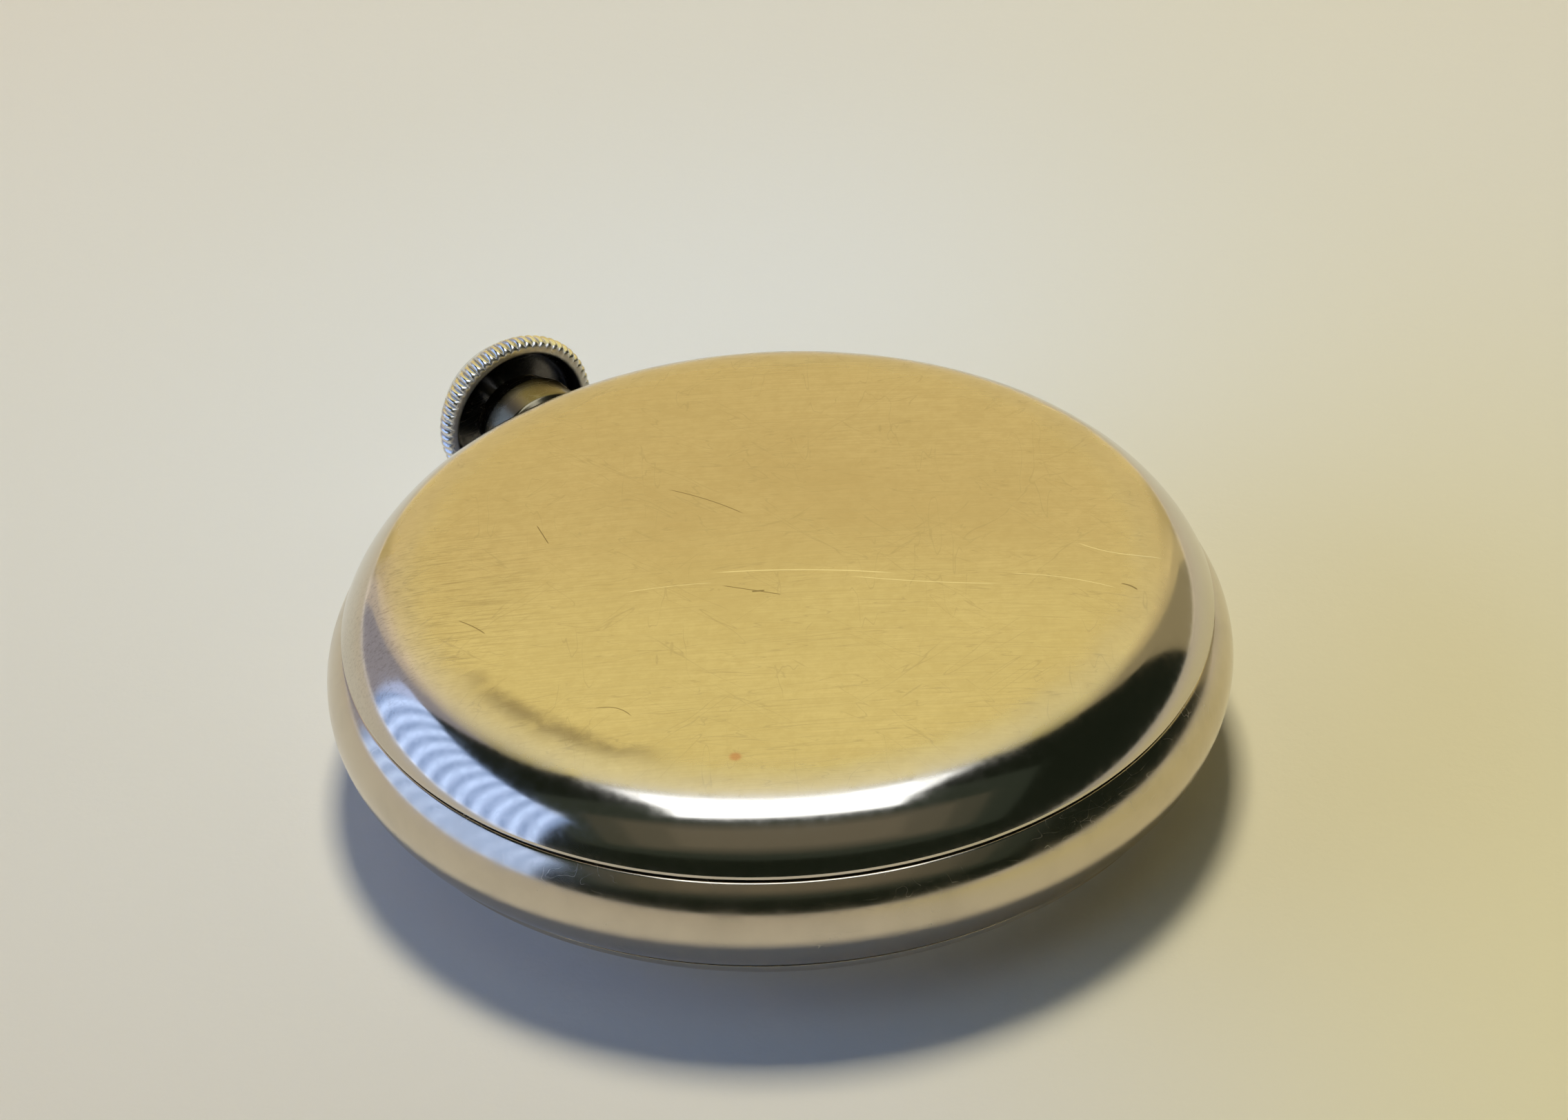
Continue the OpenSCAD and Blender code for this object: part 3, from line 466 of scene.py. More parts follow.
def glass_finish():
    """Clear glass with faint haze and hairlines."""
    n = Nodes("crystal_glass")
    haze = n.noise(320, 4, 0.6)
    lines = n.strongest(
        n.hairlines(15, 0.0008, 0.010, 0.008, 0.5, (0.1, 0.2, 0)),
        n.hairlines(104, 0.0010, 0.009, 0.008, 0.48, (0.3, 0.1, 0)),
    )
    color = n.mix(n.ramp(haze, 0.3, 0.8), (0.985, 0.99, 0.98), (0.95, 0.965, 0.955))
    rough = n.math("MULTIPLY_ADD", lines, 0.10, n.ramp(haze, 0.4, 0.8, 0.0, 0.015))
    return n.finish(
        color, rough, n.bump(lines, 0.000003, 0.6), Transmission_Weight=1.0, IOR=1.5, Metallic=0.0
    )


def gasket_finish():
    """Black rubber with grey dust on it."""
    n = Nodes("gasket_rubber")
    grain = n.noise(2400, 5, 0.65)
    dust = n.ramp(n.noise(900, 3), 0.6, 0.75)
    color = n.mix(n.product(dust, 0.5), (0.020, 0.019, 0.018), (0.10, 0.09, 0.075))
    return n.finish(color, n.ramp(grain, 0.3, 0.7, 0.55, 0.85), n.bump(grain, 0.00002), Metallic=0.0)


def plate_finish(name, angle):
    """Nickel-plated bridge metal with straight damask stripes and frosting between them."""
    n = Nodes(name)
    wave = n.add("ShaderNodeTexWave", Scale=1.0, Distortion=0.0)
    wave.wave_profile = "SAW"
    n.feed(wave.inputs["Vector"], n.mapped(angle, (95, 0, 0)))
    stripe = wave.outputs["Fac"]
    swirl = n.noise(1.0, 3, 0.6, n.mapped(angle + 35, (400, 9000, 9000)))
    frost = n.noise(5200, 4, 0.7)
    stain = n.noise(180, 4, 0.6)
    color = n.mix(n.ramp(stain, 0.35, 0.75), (0.74, 0.71, 0.63), (0.66, 0.62, 0.53))
    color = n.mix(n.product(stripe, 0.35), color, (0.55, 0.52, 0.45))
    rough = n.math("MULTIPLY_ADD", frost, 0.14, n.ramp(stripe, 0.0, 1.0, 0.16, 0.34, False))
    height = n.math("ADD", n.product(stripe, 1.2), n.product(swirl, 0.5))
    height = n.math("MULTIPLY_ADD", frost, 0.35, height)
    return n.finish(color, rough, n.bump(height, 0.00001), Metallic=1.0)


def frosted_finish(name, light, dark):
    """Grained, matt metal of the main plate and bridges' inner sides."""
    n = Nodes(name)
    frost = n.noise(4200, 6, 0.75)
    stain = n.noise(210, 4, 0.6)
    pearl = n.cells(700)
    color = n.mix(n.ramp(stain, 0.3, 0.75), light, dark)
    color = n.mix(n.product(n.ramp(pearl, 0.1, 0.6), 0.2), color, scaled(dark, 0.8))
    rough = n.ramp(frost, 0.25, 0.8, 0.30, 0.52)
    height = n.math("MULTIPLY_ADD", pearl, 0.7, frost)
    return n.finish(color, rough, n.bump(height, 0.000012), Metallic=1.0)


def turned_finish(name, body, light, dark, rough=0.2, rings=5200):
    """Circular grain of a wheel turned about its own body's axis, with so many rings to the metre."""
    n = Nodes(name)
    x, y, _ = joint_at[body]
    join = n.add("ShaderNodeCombineXYZ", X=n.product(n.radius(x, y), rings))
    grain = n.noise(1.0, 4, 0.7, join.outputs[0])
    stain = n.noise(420, 4, 0.6)
    fine = n.noise(6000, 3, 0.6)
    color = n.mix(n.ramp(stain, 0.3, 0.75), light, dark)
    color = n.mix(n.product(n.ramp(grain, 0.35, 0.7), 0.3), color, scaled(light, 0.72))
    base = n.ramp(fine, 0.2, 0.8, rough * 0.6, rough * 1.1)
    rough_all = n.math("MULTIPLY_ADD", grain, rough * 0.7, base)
    height = n.math("MULTIPLY_ADD", fine, 0.3, grain)
    return n.finish(color, rough_all, n.bump(height, 0.000006), Metallic=1.0)


def grained_steel(name, light, dark, angle, rough=0.2):
    """Steel with straight grain, slight stains and small nicks."""
    n = Nodes(name)
    grain = n.noise(1.0, 4, 0.7, n.mapped(angle, (500, 9000, 9000)))
    stain = n.noise(520, 4, 0.6)
    nick = n.ramp(n.cells(1300), 0.03, 0.10, 1.0, 0.0)
    color = n.mix(n.ramp(stain, 0.3, 0.75), light, dark)
    color = n.mix(n.product(nick, 0.35), color, scaled(light, 1.3))
    rough_all = n.math("MULTIPLY_ADD", grain, rough, n.ramp(stain, 0.2, 0.8, rough * 0.5, rough))
    return n.finish(color, rough_all, n.bump(n.math("SUBTRACT", grain, nick), 0.000005), Metallic=1.0)


def ruby_finish():
    """Clear red stone, a little cloudy."""
    n = Nodes("synthetic_ruby")
    cloud = n.noise(1400, 4, 0.6)
    fine = n.noise(6000, 2, 0.5)
    color = n.mix(n.ramp(cloud, 0.3, 0.75), (0.62, 0.015, 0.10), (0.38, 0.006, 0.06))
    return n.finish(
        color, n.ramp(fine, 0.3, 0.8, 0.04, 0.10), n.bump(fine, 0.000002),
        Transmission_Weight=0.35, IOR=1.76, Metallic=0.0,
    )


def enamel_finish():
    """Fired white enamel: slight orange peel, warm clouding, specks and dust."""
    n = Nodes("dial_enamel")
    cloud = n.noise(120, 4, 0.55)
    peel = n.noise(900, 2, 0.5)
    speck = n.ramp(n.cells(420), 0.018, 0.035, 1.0, 0.0)
    some = n.ramp(n.noise(260, 2), 0.60, 0.64)
    color = n.mix(n.ramp(cloud, 0.3, 0.75), (0.86, 0.845, 0.79), (0.80, 0.78, 0.71))
    color = n.mix(n.product(speck, some, 0.7), color, (0.28, 0.24, 0.19))
    return n.finish(
        color, n.ramp(peel, 0.3, 0.8, 0.10, 0.19), n.bump(peel, 0.000008),
        Metallic=0.0, Coat_Weight=0.5, Coat_Roughness=0.06,
    )


def ink_finish():
    """Black printing that is slightly uneven."""
    n = Nodes("dial_ink")
    cloud = n.noise(1800, 4, 0.6)
    color = n.mix(n.ramp(cloud, 0.3, 0.8), (0.010, 0.010, 0.012), (0.035, 0.033, 0.034))
    return n.finish(color, n.ramp(cloud, 0.3, 0.8, 0.25, 0.45), n.bump(cloud, 0.000004), Metallic=0.0)


def blued_finish(name):
    """Steel tempered blue, with straight grain."""
    n = Nodes(name)
    temper = n.noise(300, 4, 0.55)
    grain = n.noise(1.0, 3, 0.6, n.mapped(20, (600, 9000, 9000)))
    color = n.mix(n.ramp(temper, 0.3, 0.75), (0.022, 0.045, 0.20), (0.045, 0.10, 0.36))
    rough = n.ramp(grain, 0.25, 0.8, 0.12, 0.24)
    return n.finish(color, rough, n.bump(grain, 0.000003), Metallic=1.0)


# ---------- case ----------

case_side = polished_nickel("case_band_metal", BAND_NICKEL, rough=0.12, seed=0.11)
bezel_metal = polished_nickel("bezel_metal", BAND_NICKEL, rough=0.12, seed=0.37)
# The pendant gets the dark nickel of painted shade.
pendant_shaded_metal = polished_nickel("pendant_shaded_metal", PENDANT_SHADED_NICKEL, rough=0.18, seed=0.53)
back_metal = back_finish()
crown_metal = crown_finish()
glass = glass_finish()
rubber = gasket_finish()

CASE_SEGMENTS = 384
LOWER_ROUND, UPPER_ROUND = 3.676, 4.114
BACK_THREAD_R, FRONT_THREAD_R = 22.45, 22.75
band = (
    [(FRONT_THREAD_R, 2.9), (23.24, 2.9), (23.285, 2.915)]
    + arc(CASE_R - LOWER_ROUND, STEM_Z, LOWER_ROUND, -56.9, 0, 40)[:-1]
    + arc(CASE_R - UPPER_ROUND, STEM_Z, UPPER_ROUND, 0, 42.2, 34)
    + [(23.88, 8.79), (23.83, 8.8), (22.55, 8.8), (BACK_THREAD_R, 8.72)]
    + thread_rows(BACK_THREAD_R, 8.70, 7.32, 1)
    + [(BACK_THREAD_R, 7.3), (22.2, 7.3), (22.2, 6.0), (21.65, 6.0), (21.65, 4.3), (FRONT_THREAD_R, 4.3)]
    + thread_rows(FRONT_THREAD_R, 4.15, 3.0, 1)
)
stem_hole = lathe([(0, 0), (1.6, 0), (1.6, 7), (0, 7)], 64, turn=on_stem(19.5))
case_band = cut(make_object("case_band", lathe(band, CASE_SEGMENTS)), [make_object("stem_hole", stem_hole)])
place(case_band, "case", "case_metal", "case_middle", material=case_side)

BACK_TOP = 13.3
BACK_WALL = 0.8
DOME_R = 273.413


def dome(inset, r0, r1, steps):
    """Points of the back's shallow dome, or of a dome inside it."""
    centre = BACK_TOP - DOME_R
    radius = DOME_R - inset
    return [
        (r, centre + math.sqrt(radius * radius - r * r))
        for r in (r0 + (r1 - r0) * i / steps for i in range(steps + 1))
    ]


def swept(start, corner, end, steps):
    """Points of a quadratic curve, without its end."""
    return [
        tuple(a * (1 - t) ** 2 + b * 2 * t * (1 - t) + c * t * t for a, b, c in zip(start, corner, end))
        for t in (i / steps for i in range(steps))
    ]


back_lip = [
    (23.95, 9.17), (23.955, 9.12), (23.955, 9.04), (23.93, 8.985), (23.87, 8.955), (23.80, 8.95),
    (22.5, 8.95), (22.40, 8.90),
]
back = (
    dome(0, 0, 19.0, 40)[:-1]
    + swept((19.0, 12.639), (21.071, 12.495), (22.025, 11.750), 44)
    + arc(18.22, 6.88, 6.18, 52.0, 22.0, 34)
    + back_lip
    + thread_rows(22.40, 8.85, 7.52, -1)
    + [(22.34, 7.46), (22.28, 7.45), (21.83, 7.45), (21.75, 7.53), (21.75, 11.117)]
    + arc(18.69, 7.29, 4.9, 51.0, 68.2, 8)
    + dome(BACK_WALL, 0, 20.45, 24)[::-1]
)
back_shell = make_object("back_shell", lathe(back, CASE_SEGMENTS), 20)
place(back_shell, "back", "case_metal", "back_cover", material=back_metal)

back_joint = make_object("back_joint", lathe(slab(22.56, 23.59, 8.81, 8.935, 0.03), 192))
place(back_joint, "back_ring", "gasket", "back_gasket", material=rubber)
front_joint = make_object("front_joint", lathe(slab(22.79, 23.19, 2.815, 2.895, 0.02), 192))
place(front_joint, "front_ring", "gasket", "bezel_gasket", material=rubber)

bezel_face = [
    (20.65, 1.55, 0.04), (21.4, 1.3, 0.35), (22.5, 1.75, 0.5), (23.0, 2.4, 0.12), (23.3, 2.5, 0.05),
    (23.3, 2.8, 0.03), (22.7, 2.8, 0),
]
bezel_seat = [
    (22.66, 4.14), (22.14, 4.15), (22.1, 4.11), (22.1, 2.75), (20.14, 2.75), (20.1, 2.71), (20.1, 2.55),
    (20.65, 2.55),
]
bezel = rounded(bezel_face, 8) + thread_rows(22.7, 2.95, 4.0, -1) + bezel_seat
bezel_ring = make_object("bezel_ring", lathe(bezel, CASE_SEGMENTS))
place(bezel_ring, "front", "case_metal", "bezel", material=bezel_metal)


def glass_curve(r0, r1, z0, height, steps=28):
    """Points from the flat of the glass round to its edge."""
    return [
        (r0 + (r1 - r0) * math.sin(t), z0 + height * (1 - math.cos(t)))
        for t in (math.pi / 2 * i / steps for i in range(steps + 1))
    ]


GLASS_INSIDE = 1.0
crystal = (
    [(0, 0), (7, 0), (12, 0)]
    + glass_curve(15, 20.62, 0, 1.6)
    + [(20.62, 2.46), (20.58, 2.5), (20.06, 2.5), (20.02, 2.46)]
    + glass_curve(14.8, 19.72, GLASS_INSIDE, 1.4)[::-1]
    + [(12, GLASS_INSIDE), (7, GLASS_INSIDE), (0, GLASS_INSIDE)]
)
place(make_object("crystal_glass", lathe(crystal, 288)), "front", "glass", "crystal", material=glass)

PENDANT_Y = 24
SOCKET_X, SOCKET_Y = 1.95, 27.0
pendant = rounded([
    (1.15, -1.5, 0), (1.57, -1.5, 0), (1.57, 0.0, 0), (2.75, 0.0, 0), (2.72, 0.6, 0.2), (2.6, 1.3, 0.4),
    (2.75, 1.7, 0.15), (3.15, 2.15, 0.35), (3.15, 4.2, 0.5), (2.9, 4.7, 0.25), (2.7, 5.6, 0.12),
    (1.15, 5.6, 0.06),
], 6)
socket = [(0, 0), (0.54, 0), (0.6, 0.06), (0.6, 1.08), (0.78, 1.26), (0.78, 3), (0, 3)]
sockets = []
for side in (-1, 1):
    outwards = Matrix.Rotation(side * math.pi / 2, 4, "Y")
    turn = Matrix.Translation((side * SOCKET_X, SOCKET_Y, STEM_Z)) @ outwards
    sockets.append(make_object("socket", lathe(socket, 48, turn=turn)))
neck = cut(make_object("pendant_neck", lathe(pendant, 160, turn=on_stem(PENDANT_Y))), sockets)
place(neck, "case", "case_metal", "pendant", material=pendant_shaded_metal)

# ---------- crown ----------

CROWN_Y = 29.3
FLUTES, FLUTE_DEPTH = 60, 0.24
GRIP_LENGTH, GRIP_R = 1.45, 4.5
crown_outer = [
    (4.55, 0.0), (4.66, 0.015), (4.76, 0.06), (4.84, 0.13), (4.90, 0.22), (4.95, 0.34), (4.985, 0.48),
    (5.0, 0.62), (4.99, 0.78), (4.96, 0.94), (4.91, 1.09), (4.84, 1.22), (4.76, 1.33), (4.66, 1.46),
    (4.52, 1.66), (4.34, 1.92), (4.10, 2.24), (3.80, 2.59), (3.44, 2.95), (3.02, 3.31), (2.56, 3.65),
    (2.06, 3.96), (1.52, 4.21), (1.0, 4.38), (0.5, 4.47), (0, 4.5),
]
crown_inner = [
    (0, 3.4), (0.7, 3.4), (0.7, 2.45), (0.78, 2.36), (2.6, 2.1), (3.2, 2.01), (3.6, 1.86), (3.95, 1.58),
    (4.12, 1.28), (4.15, 1.0), (4.15, 0.12), (4.19, 0.05), (4.27, 0.005), (4.34, 0.0),
]


def flute(index, r, z, angle):
    """Depth of the rounded grip at a point of the crown's side."""
    if index >= len(crown_outer) or z > GRIP_LENGTH or r < GRIP_R:
        return 0.0
    swell = math.sin(math.pi * min(1.0, max(0.0, (z + 0.10) / 1.50))) ** 0.5
    return -FLUTE_DEPTH * swell * (1 - abs(math.cos(FLUTES * angle / 2)) ** 0.75)


crown_mesh = lathe(crown_outer + crown_inner, 720, ripple=flute, turn=on_stem(CROWN_Y))
place(make_object("crown_grip", crown_mesh, 40), "stem", "crown_metal", "crown", material=crown_metal)

# ---------- dial side ----------

enamel, ink, blued = enamel_finish(), ink_finish(), blued_finish("blued_steel")
DIAL_Z, DIAL_BACK = 2.8, 3.2
RECESS_Z = 2.92
SECONDS = tuple(c / MM for c in joint_at["fourth"][:2])
dial = rounded([
    (1.3, DIAL_Z, 0.04), (20.9, DIAL_Z, 0.12), (21.0, 3.0, 0.08), (21.0, DIAL_BACK, 0.02),
    (1.3, DIAL_BACK, 0.02),
], 5)
recess = [(0, 2.0), (4.36, 2.0), (4.36, 2.79), (4.33, 2.83), (4.28, RECESS_Z), (0, RECESS_Z)]
post_hole = [(0, 2.0), (0.45, 2.0), (0.45, 4.0), (0, 4.0)]
dial_plate = cut(make_object("dial_plate", lathe(dial, 256), 25), [
    make_object("recess", lathe(recess, 160, turn=moved(*SECONDS))),
    make_object("post", lathe(post_hole, 48, turn=moved(*SECONDS))),
])
place(dial_plate, "case", "enamel", "dial", material=enamel)

PRINT_SUNK, PRINT_PROUD = 0.012, 0.004


def seen(angle, r, centre=(0.0, 0.0)):
    """A place on the dial by clock angle in degrees, as read from the crystal side."""
    a = math.radians(angle)
    return (centre[0] - r * math.sin(a), centre[1] + r * math.cos(a))


def printed_bar(bm, angle, r0, r1, width, floor, centre=(0.0, 0.0)):
    """A thin bar of ink from one radius to another at a clock angle."""
    a = math.radians(angle)
    out = Vector((-math.sin(a), math.cos(a), 0))
    half = Vector((math.cos(a), math.sin(a), 0)) * width / 2
    base = Vector((*centre, 0))
    corners = [base + out * r0 - half, base + out * r0 + half, base + out * r1 + half, base + out * r1 - half]
    low = [bm.verts.new(c + Vector((0, 0, floor - PRINT_SUNK))) for c in corners]
    high = [bm.verts.new(c + Vector((0, 0, floor + PRINT_PROUD))) for c in corners]
    bm.faces.new(low)
    bm.faces.new(high)
    for i in range(4):
        bm.faces.new((low[i], low[(i + 1) % 4], high[(i + 1) % 4], high[i]))


def printed_ring(bm, r, width, floor, centre=(0.0, 0.0), segments=240):
    """A thin ring of ink."""
    inner, outer = r - width / 2, r + width / 2
    low, high = floor - PRINT_SUNK, floor + PRINT_PROUD
    outline = [(inner, low), (outer, low), (outer, high), (inner, high)]
    join_into(bm, lathe(outline, segments, turn=moved(*centre)))


def join_into(bm, part):
    """Adds one mesh to another and frees it."""
    mesh = bpy.data.meshes.new("part")
    part.to_mesh(mesh)
    part.free()
    bm.from_mesh(mesh)
    bpy.data.meshes.remove(mesh)


def numeral(bm, number, size, at, floor, bold):
    """A number of ink, centred at a place and readable from the crystal side."""
    curve = bpy.data.curves.new("numeral", "FONT")
    curve.body, curve.size, curve.offset = str(number), size, bold
    curve.extrude = (PRINT_SUNK + PRINT_PROUD) / 2
    curve.align_x, curve.align_y, curve.resolution_u = "CENTER", "CENTER", 6
    holder = bpy.data.objects.new("numeral", curve)
    scene.collection.objects.link(holder)
    bpy.context.view_layer.update()
    mesh = bpy.data.meshes.new_from_object(holder.evaluated_get(bpy.context.evaluated_depsgraph_get()))
    xs = [v.co.x for v in mesh.vertices]
    ys = [v.co.y for v in mesh.vertices]
    to_middle = moved(-(min(xs) + max(xs)) / 2, -(min(ys) + max(ys)) / 2)
    flip = Matrix.Rotation(math.pi, 4, "Y")
    lift = Matrix.Translation((*at, floor + (PRINT_PROUD - PRINT_SUNK) / 2))
    mesh.transform(lift @ flip @ to_middle)
    bm.from_mesh(mesh)
    bpy.data.meshes.remove(mesh)
    bpy.data.objects.remove(holder)
    bpy.data.curves.remove(curve)


MINUTES_R, SECONDS_R = (18.45, 19.25), 3.85
print_bm = bmesh.new()
for minute in range(60):
    printed_bar(print_bm, minute * 6, *MINUTES_R, 0.30 if minute % 5 == 0 else 0.11, DIAL_Z)
for r in MINUTES_R:
    printed_ring(print_bm, r, 0.09, DIAL_Z)
for hour in range(1, 13):
    if hour != 6:
        numeral(print_bm, hour, 4.1, seen(hour * 30, 15.6), DIAL_Z, 0.06)
for minute in range(5, 61, 5):
    numeral(print_bm, minute, 0.95, seen(minute * 6, 19.98), DIAL_Z, 0.01)
for second in range(60):
    start, width = (3.35, 0.10) if second % 5 == 0 else (3.6, 0.06)
    printed_bar(print_bm, second * 6, start, SECONDS_R, width, RECESS_Z, SECONDS)
printed_ring(print_bm, SECONDS_R, 0.06, RECESS_Z, SECONDS, 120)
for second in (15, 30, 45, 60):
    numeral(print_bm, second, 1.05, seen(second * 6, 2.65, SECONDS), RECESS_Z, 0.015)
place(make_object("dial_print", print_bm), "case", "enamel", material=ink)

HAND_THICK, RIDGE_HIGH = 0.15, 0.07
HAND_ROWS = 26
WIDEST = 0.68


def hand(name, centre, z, length, width, eye_r, bore_r, direction):
    """A leaf hand with a ridge along its middle, over an eye that fits its post."""
    bm = bmesh.new()
    edges = [[] for _ in range(5)]
    start = (eye_r + bore_r) / 2
    for i in range(HAND_ROWS + 1):
        t = i / HAND_ROWS
        x = start + (length - start) * t
        if t < WIDEST:
            share = 0.42 + 0.58 * math.sin(math.pi * t / WIDEST * 0.5) ** 2
        else:
            share = math.cos(math.pi / 2 * ((t - WIDEST) / (1 - WIDEST))) ** 0.8
        half = max(0.012, width / 2 * share)
        low, top = z + RIDGE_HIGH, z + HAND_THICK
        for edge, place_in_row in zip(edges, ((-half, low), (0, z), (half, low), (half, top), (-half, top))):
            edge.append(bm.verts.new((x, *place_in_row)))
    for a, b in zip(edges, edges[1:] + edges[:1]):
        for i in range(HAND_ROWS):
            bm.faces.new((a[i], a[i + 1], b[i + 1], b[i]))
    for end in (0, HAND_ROWS):
        bm.faces.new([edge[end] for edge in edges])
    under, over = z + 0.01, z + HAND_THICK
    eye = rounded([(bore_r, under, 0.02), (eye_r, under, 0.06), (eye_r, over, 0.02), (bore_r, over, 0.02)], 4)
    join_into(bm, lathe(eye, 72))
    turn = moved(*centre) @ Matrix.Rotation(math.radians(direction), 4, "Z")
    bmesh.ops.transform(bm, matrix=turn, verts=bm.verts)
    return make_object(name, bm, 25)


for body, node, piece in (
    ("hour_work", "hour_hand", hand("hour_leaf", (0, 0), 1.9, 10.5, 1.3, 1.7, 1.15, 145)),
    ("centre", "minute_hand", hand("minute_leaf", (0, 0), 1.45, 15.5, 0.9, 1.3, 0.75, 35)),
    ("fourth", "second_hand", hand("second_leaf", SECONDS, 2.25, 3.8, 0.3, 0.5, 0.16, 60)),
):
    place(piece, body, "blued_steel", node, material=blued)

# ---------- movement: finishes for the CAD pieces that show as they are ----------

GILT = ((0.80, 0.60, 0.29), (0.66, 0.46, 0.19))
STEEL = ((0.56, 0.55, 0.54), (0.42, 0.41, 0.40))
BRIGHT = ((0.76, 0.76, 0.77), (0.62, 0.62, 0.63))
PLATE = ((0.72, 0.69, 0.61), (0.62, 0.58, 0.49))
ruby = ruby_finish()
looks = {
    "main_plate": frosted_finish("main_plate_frost", *PLATE),
    "barrel_bridge": plate_finish("barrel_bridge_stripes", 30),
    "train_bridge": plate_finish("train_bridge_stripes", 30),
    "balance_cock": plate_finish("balance_cock_stripes", -25),
    "pallet_cock": plate_finish("pallet_cock_stripes", 75),
    "pendant_sleeve": turned_finish("sleeve_brass", "centre", *GILT, 0.25, 3000),
    "winding_stem": grained_steel("stem_steel", *STEEL, 90),
    "winding_pinion": grained_steel("winding_pinion_steel", *STEEL, 20),
    "clutch_wheel": grained_steel("clutch_steel", *STEEL, 10),
    "crown_wheel": turned_finish("crown_wheel_snailed", "crown_wheel", *BRIGHT, 0.14),
    "ratchet_wheel": turned_finish("ratchet_snailed", "barrel", *BRIGHT, 0.14),
    "crown_wheel_screw": blued_finish("crown_screw_blue"),
    "ratchet_screw": blued_finish("ratchet_screw_blue"),
    "case_screws": blued_finish("case_screw_blue"),
    "barrel_bridge_screws": blued_finish("barrel_screw_blue"),
    "train_bridge_screws": blued_finish("train_screw_blue"),
    "cock_screws": blued_finish("cock_screw_blue"),
    "train_jewels": ruby,
    "balance_jewels": ruby,
    "pallet_stones": ruby,
    "click": grained_steel("click_steel", *BRIGHT, 70, 0.12),
    "click_spring": grained_steel("click_spring_steel", *STEEL, 15, 0.16),
    "setting_lever": grained_steel("lever_steel", *STEEL, 0),
    "yoke": grained_steel("yoke_steel", *STEEL, 80),
    "yoke_spring": grained_steel("yoke_spring_steel", *STEEL, 60),
    "setting_wheel": turned_finish("setting_brass", "setting", *GILT),
    "mainspring_barrel": turned_finish("barrel_brass", "barrel", *GILT, 0.24),
    "barrel_cover": turned_finish("barrel_cover_brass", "barrel", *GILT, 0.18),
    "barrel_arbor": grained_steel("arbor_steel", *STEEL, 5),
    "mainspring": blued_finish("mainspring_blue"),
    "centre_wheel": turned_finish("centre_brass", "centre", *GILT),
    "third_wheel": turned_finish("third_brass", "third", *GILT),
    "fourth_wheel": turned_finish("fourth_brass", "fourth", *GILT),
    "escape_wheel": turned_finish("escape_brass", "escape", *GILT),
    "minute_wheel": turned_finish("minute_brass", "minute_work", *GILT),
    "hour_wheel": turned_finish("hour_brass", "centre", *GILT),
    "centre_pinion": grained_steel("centre_pinion_steel", *BRIGHT, 0, 0.12),
    "third_pinion": grained_steel("third_pinion_steel", *BRIGHT, 0, 0.12),
    "fourth_pinion": grained_steel("fourth_pinion_steel", *BRIGHT, 0, 0.12),
    "escape_pinion": grained_steel("escape_pinion_steel", *BRIGHT, 0, 0.12),
    "cannon_pinion": grained_steel("cannon_steel", *BRIGHT, 0, 0.12),
    "pallet_fork": grained_steel("fork_steel", *BRIGHT, -40, 0.12),
    "balance_wheel": turned_finish("balance_gilt", "balance", *GILT, 0.12),
    "timing_screws": turned_finish("timing_screw_gilt", "balance", *GILT, 0.15),
    "balance_staff": grained_steel("staff_steel", *BRIGHT, 0, 0.1),
    "hairspring": blued_finish("hairspring_blue"),
    "hairspring_stud": grained_steel("stud_steel", *STEEL, 30),
    "regulator": grained_steel("regulator_steel", *BRIGHT, 55, 0.10),
}
for node, material in looks.items():
    mesh = frame["nodes"][node].data
    mesh.materials.clear()
    mesh.materials.append(material)

# ---------- floor ----------

FLOOR_R = 700


def paper_floor():
    """A pale sheet under the watch; rays from below pass through it, so that the dial side can be seen."""
    bm = bmesh.new()
    bmesh.ops.create_circle(bm, cap_ends=True, radius=FLOOR_R, segments=96)
    floor = make_object("floor", bm)
    n = Nodes("paper")
    grain = n.noise(900, 5, 0.6)
    cloud = n.noise(9, 3, 0.5)
    color = n.mix(n.ramp(cloud, 0.3, 0.7), (0.86, 0.86, 0.855), (0.84, 0.84, 0.83))

    # Painted light and shade: the sheet is palest and slightly blue beside the crown, as if lit there, and
    # painted shade darkens it outwards.
    outwards = n.radius(0.017, 0.030)
    color = n.mix(n.ramp(outwards, 0.008, 0.050), (0.89, 0.92, 0.97), color)
    color = n.mix(n.ramp(outwards, 0.035, 0.105), color, (0.82, 0.78, 0.73))

    # Painted light: a warm yellow patch on the right, near the watch, where the cool light from the left is
    # shadowed.
    x, y, _ = n.axes(n.mapped(30))
    warm_light_patch = n.product(n.ramp(x, 0.0, 0.045), n.ramp(y, -0.03, 0.07, 1.0, 0.25))
    warm_light_patch = n.product(warm_light_patch, n.ramp(n.radius(), 0.07, 0.18, 1.0, 0.0))
    color = n.mix(warm_light_patch, color, (0.90, 0.835, 0.56))
    rough = n.ramp(grain, 0.3, 0.7, 0.75, 0.9)
    n.finish(color, rough, n.bump(grain, 0.00003), Metallic=0.0, Specular_IOR_Level=0.15)

    path = n.tree.nodes.new("ShaderNodeLightPath")
    face = n.tree.nodes.new("ShaderNodeNewGeometry")
    clear = n.tree.nodes.new("ShaderNodeBsdfTransparent")
    choose = n.tree.nodes.new("ShaderNodeMixShader")
    through = n.strongest(path.outputs["Is Transmission Ray"], face.outputs["Backfacing"])
    for socket, value in zip(choose.inputs, (through, n.shader.outputs[0], clear.outputs[0])):
        n.feed(socket, value)
    n.feed(n.tree.nodes["Material Output"].inputs["Surface"], choose.outputs[0])
    floor.data.materials.append(n.material)


paper_floor()

# ---------- camera ----------

# Angles in degrees and lengths in metres, except for the sensor and lens in millimetres.
AZIMUTH, ELEVATION, ROLL = -30, 35.69, -3.09
AIM_UP, AIM_RIGHT = 1.028954, 0.061324
DISTANCE = 0.260
SENSOR, LENS = 36.0, 108.02376
target = Vector((0, 0, 0.0065))

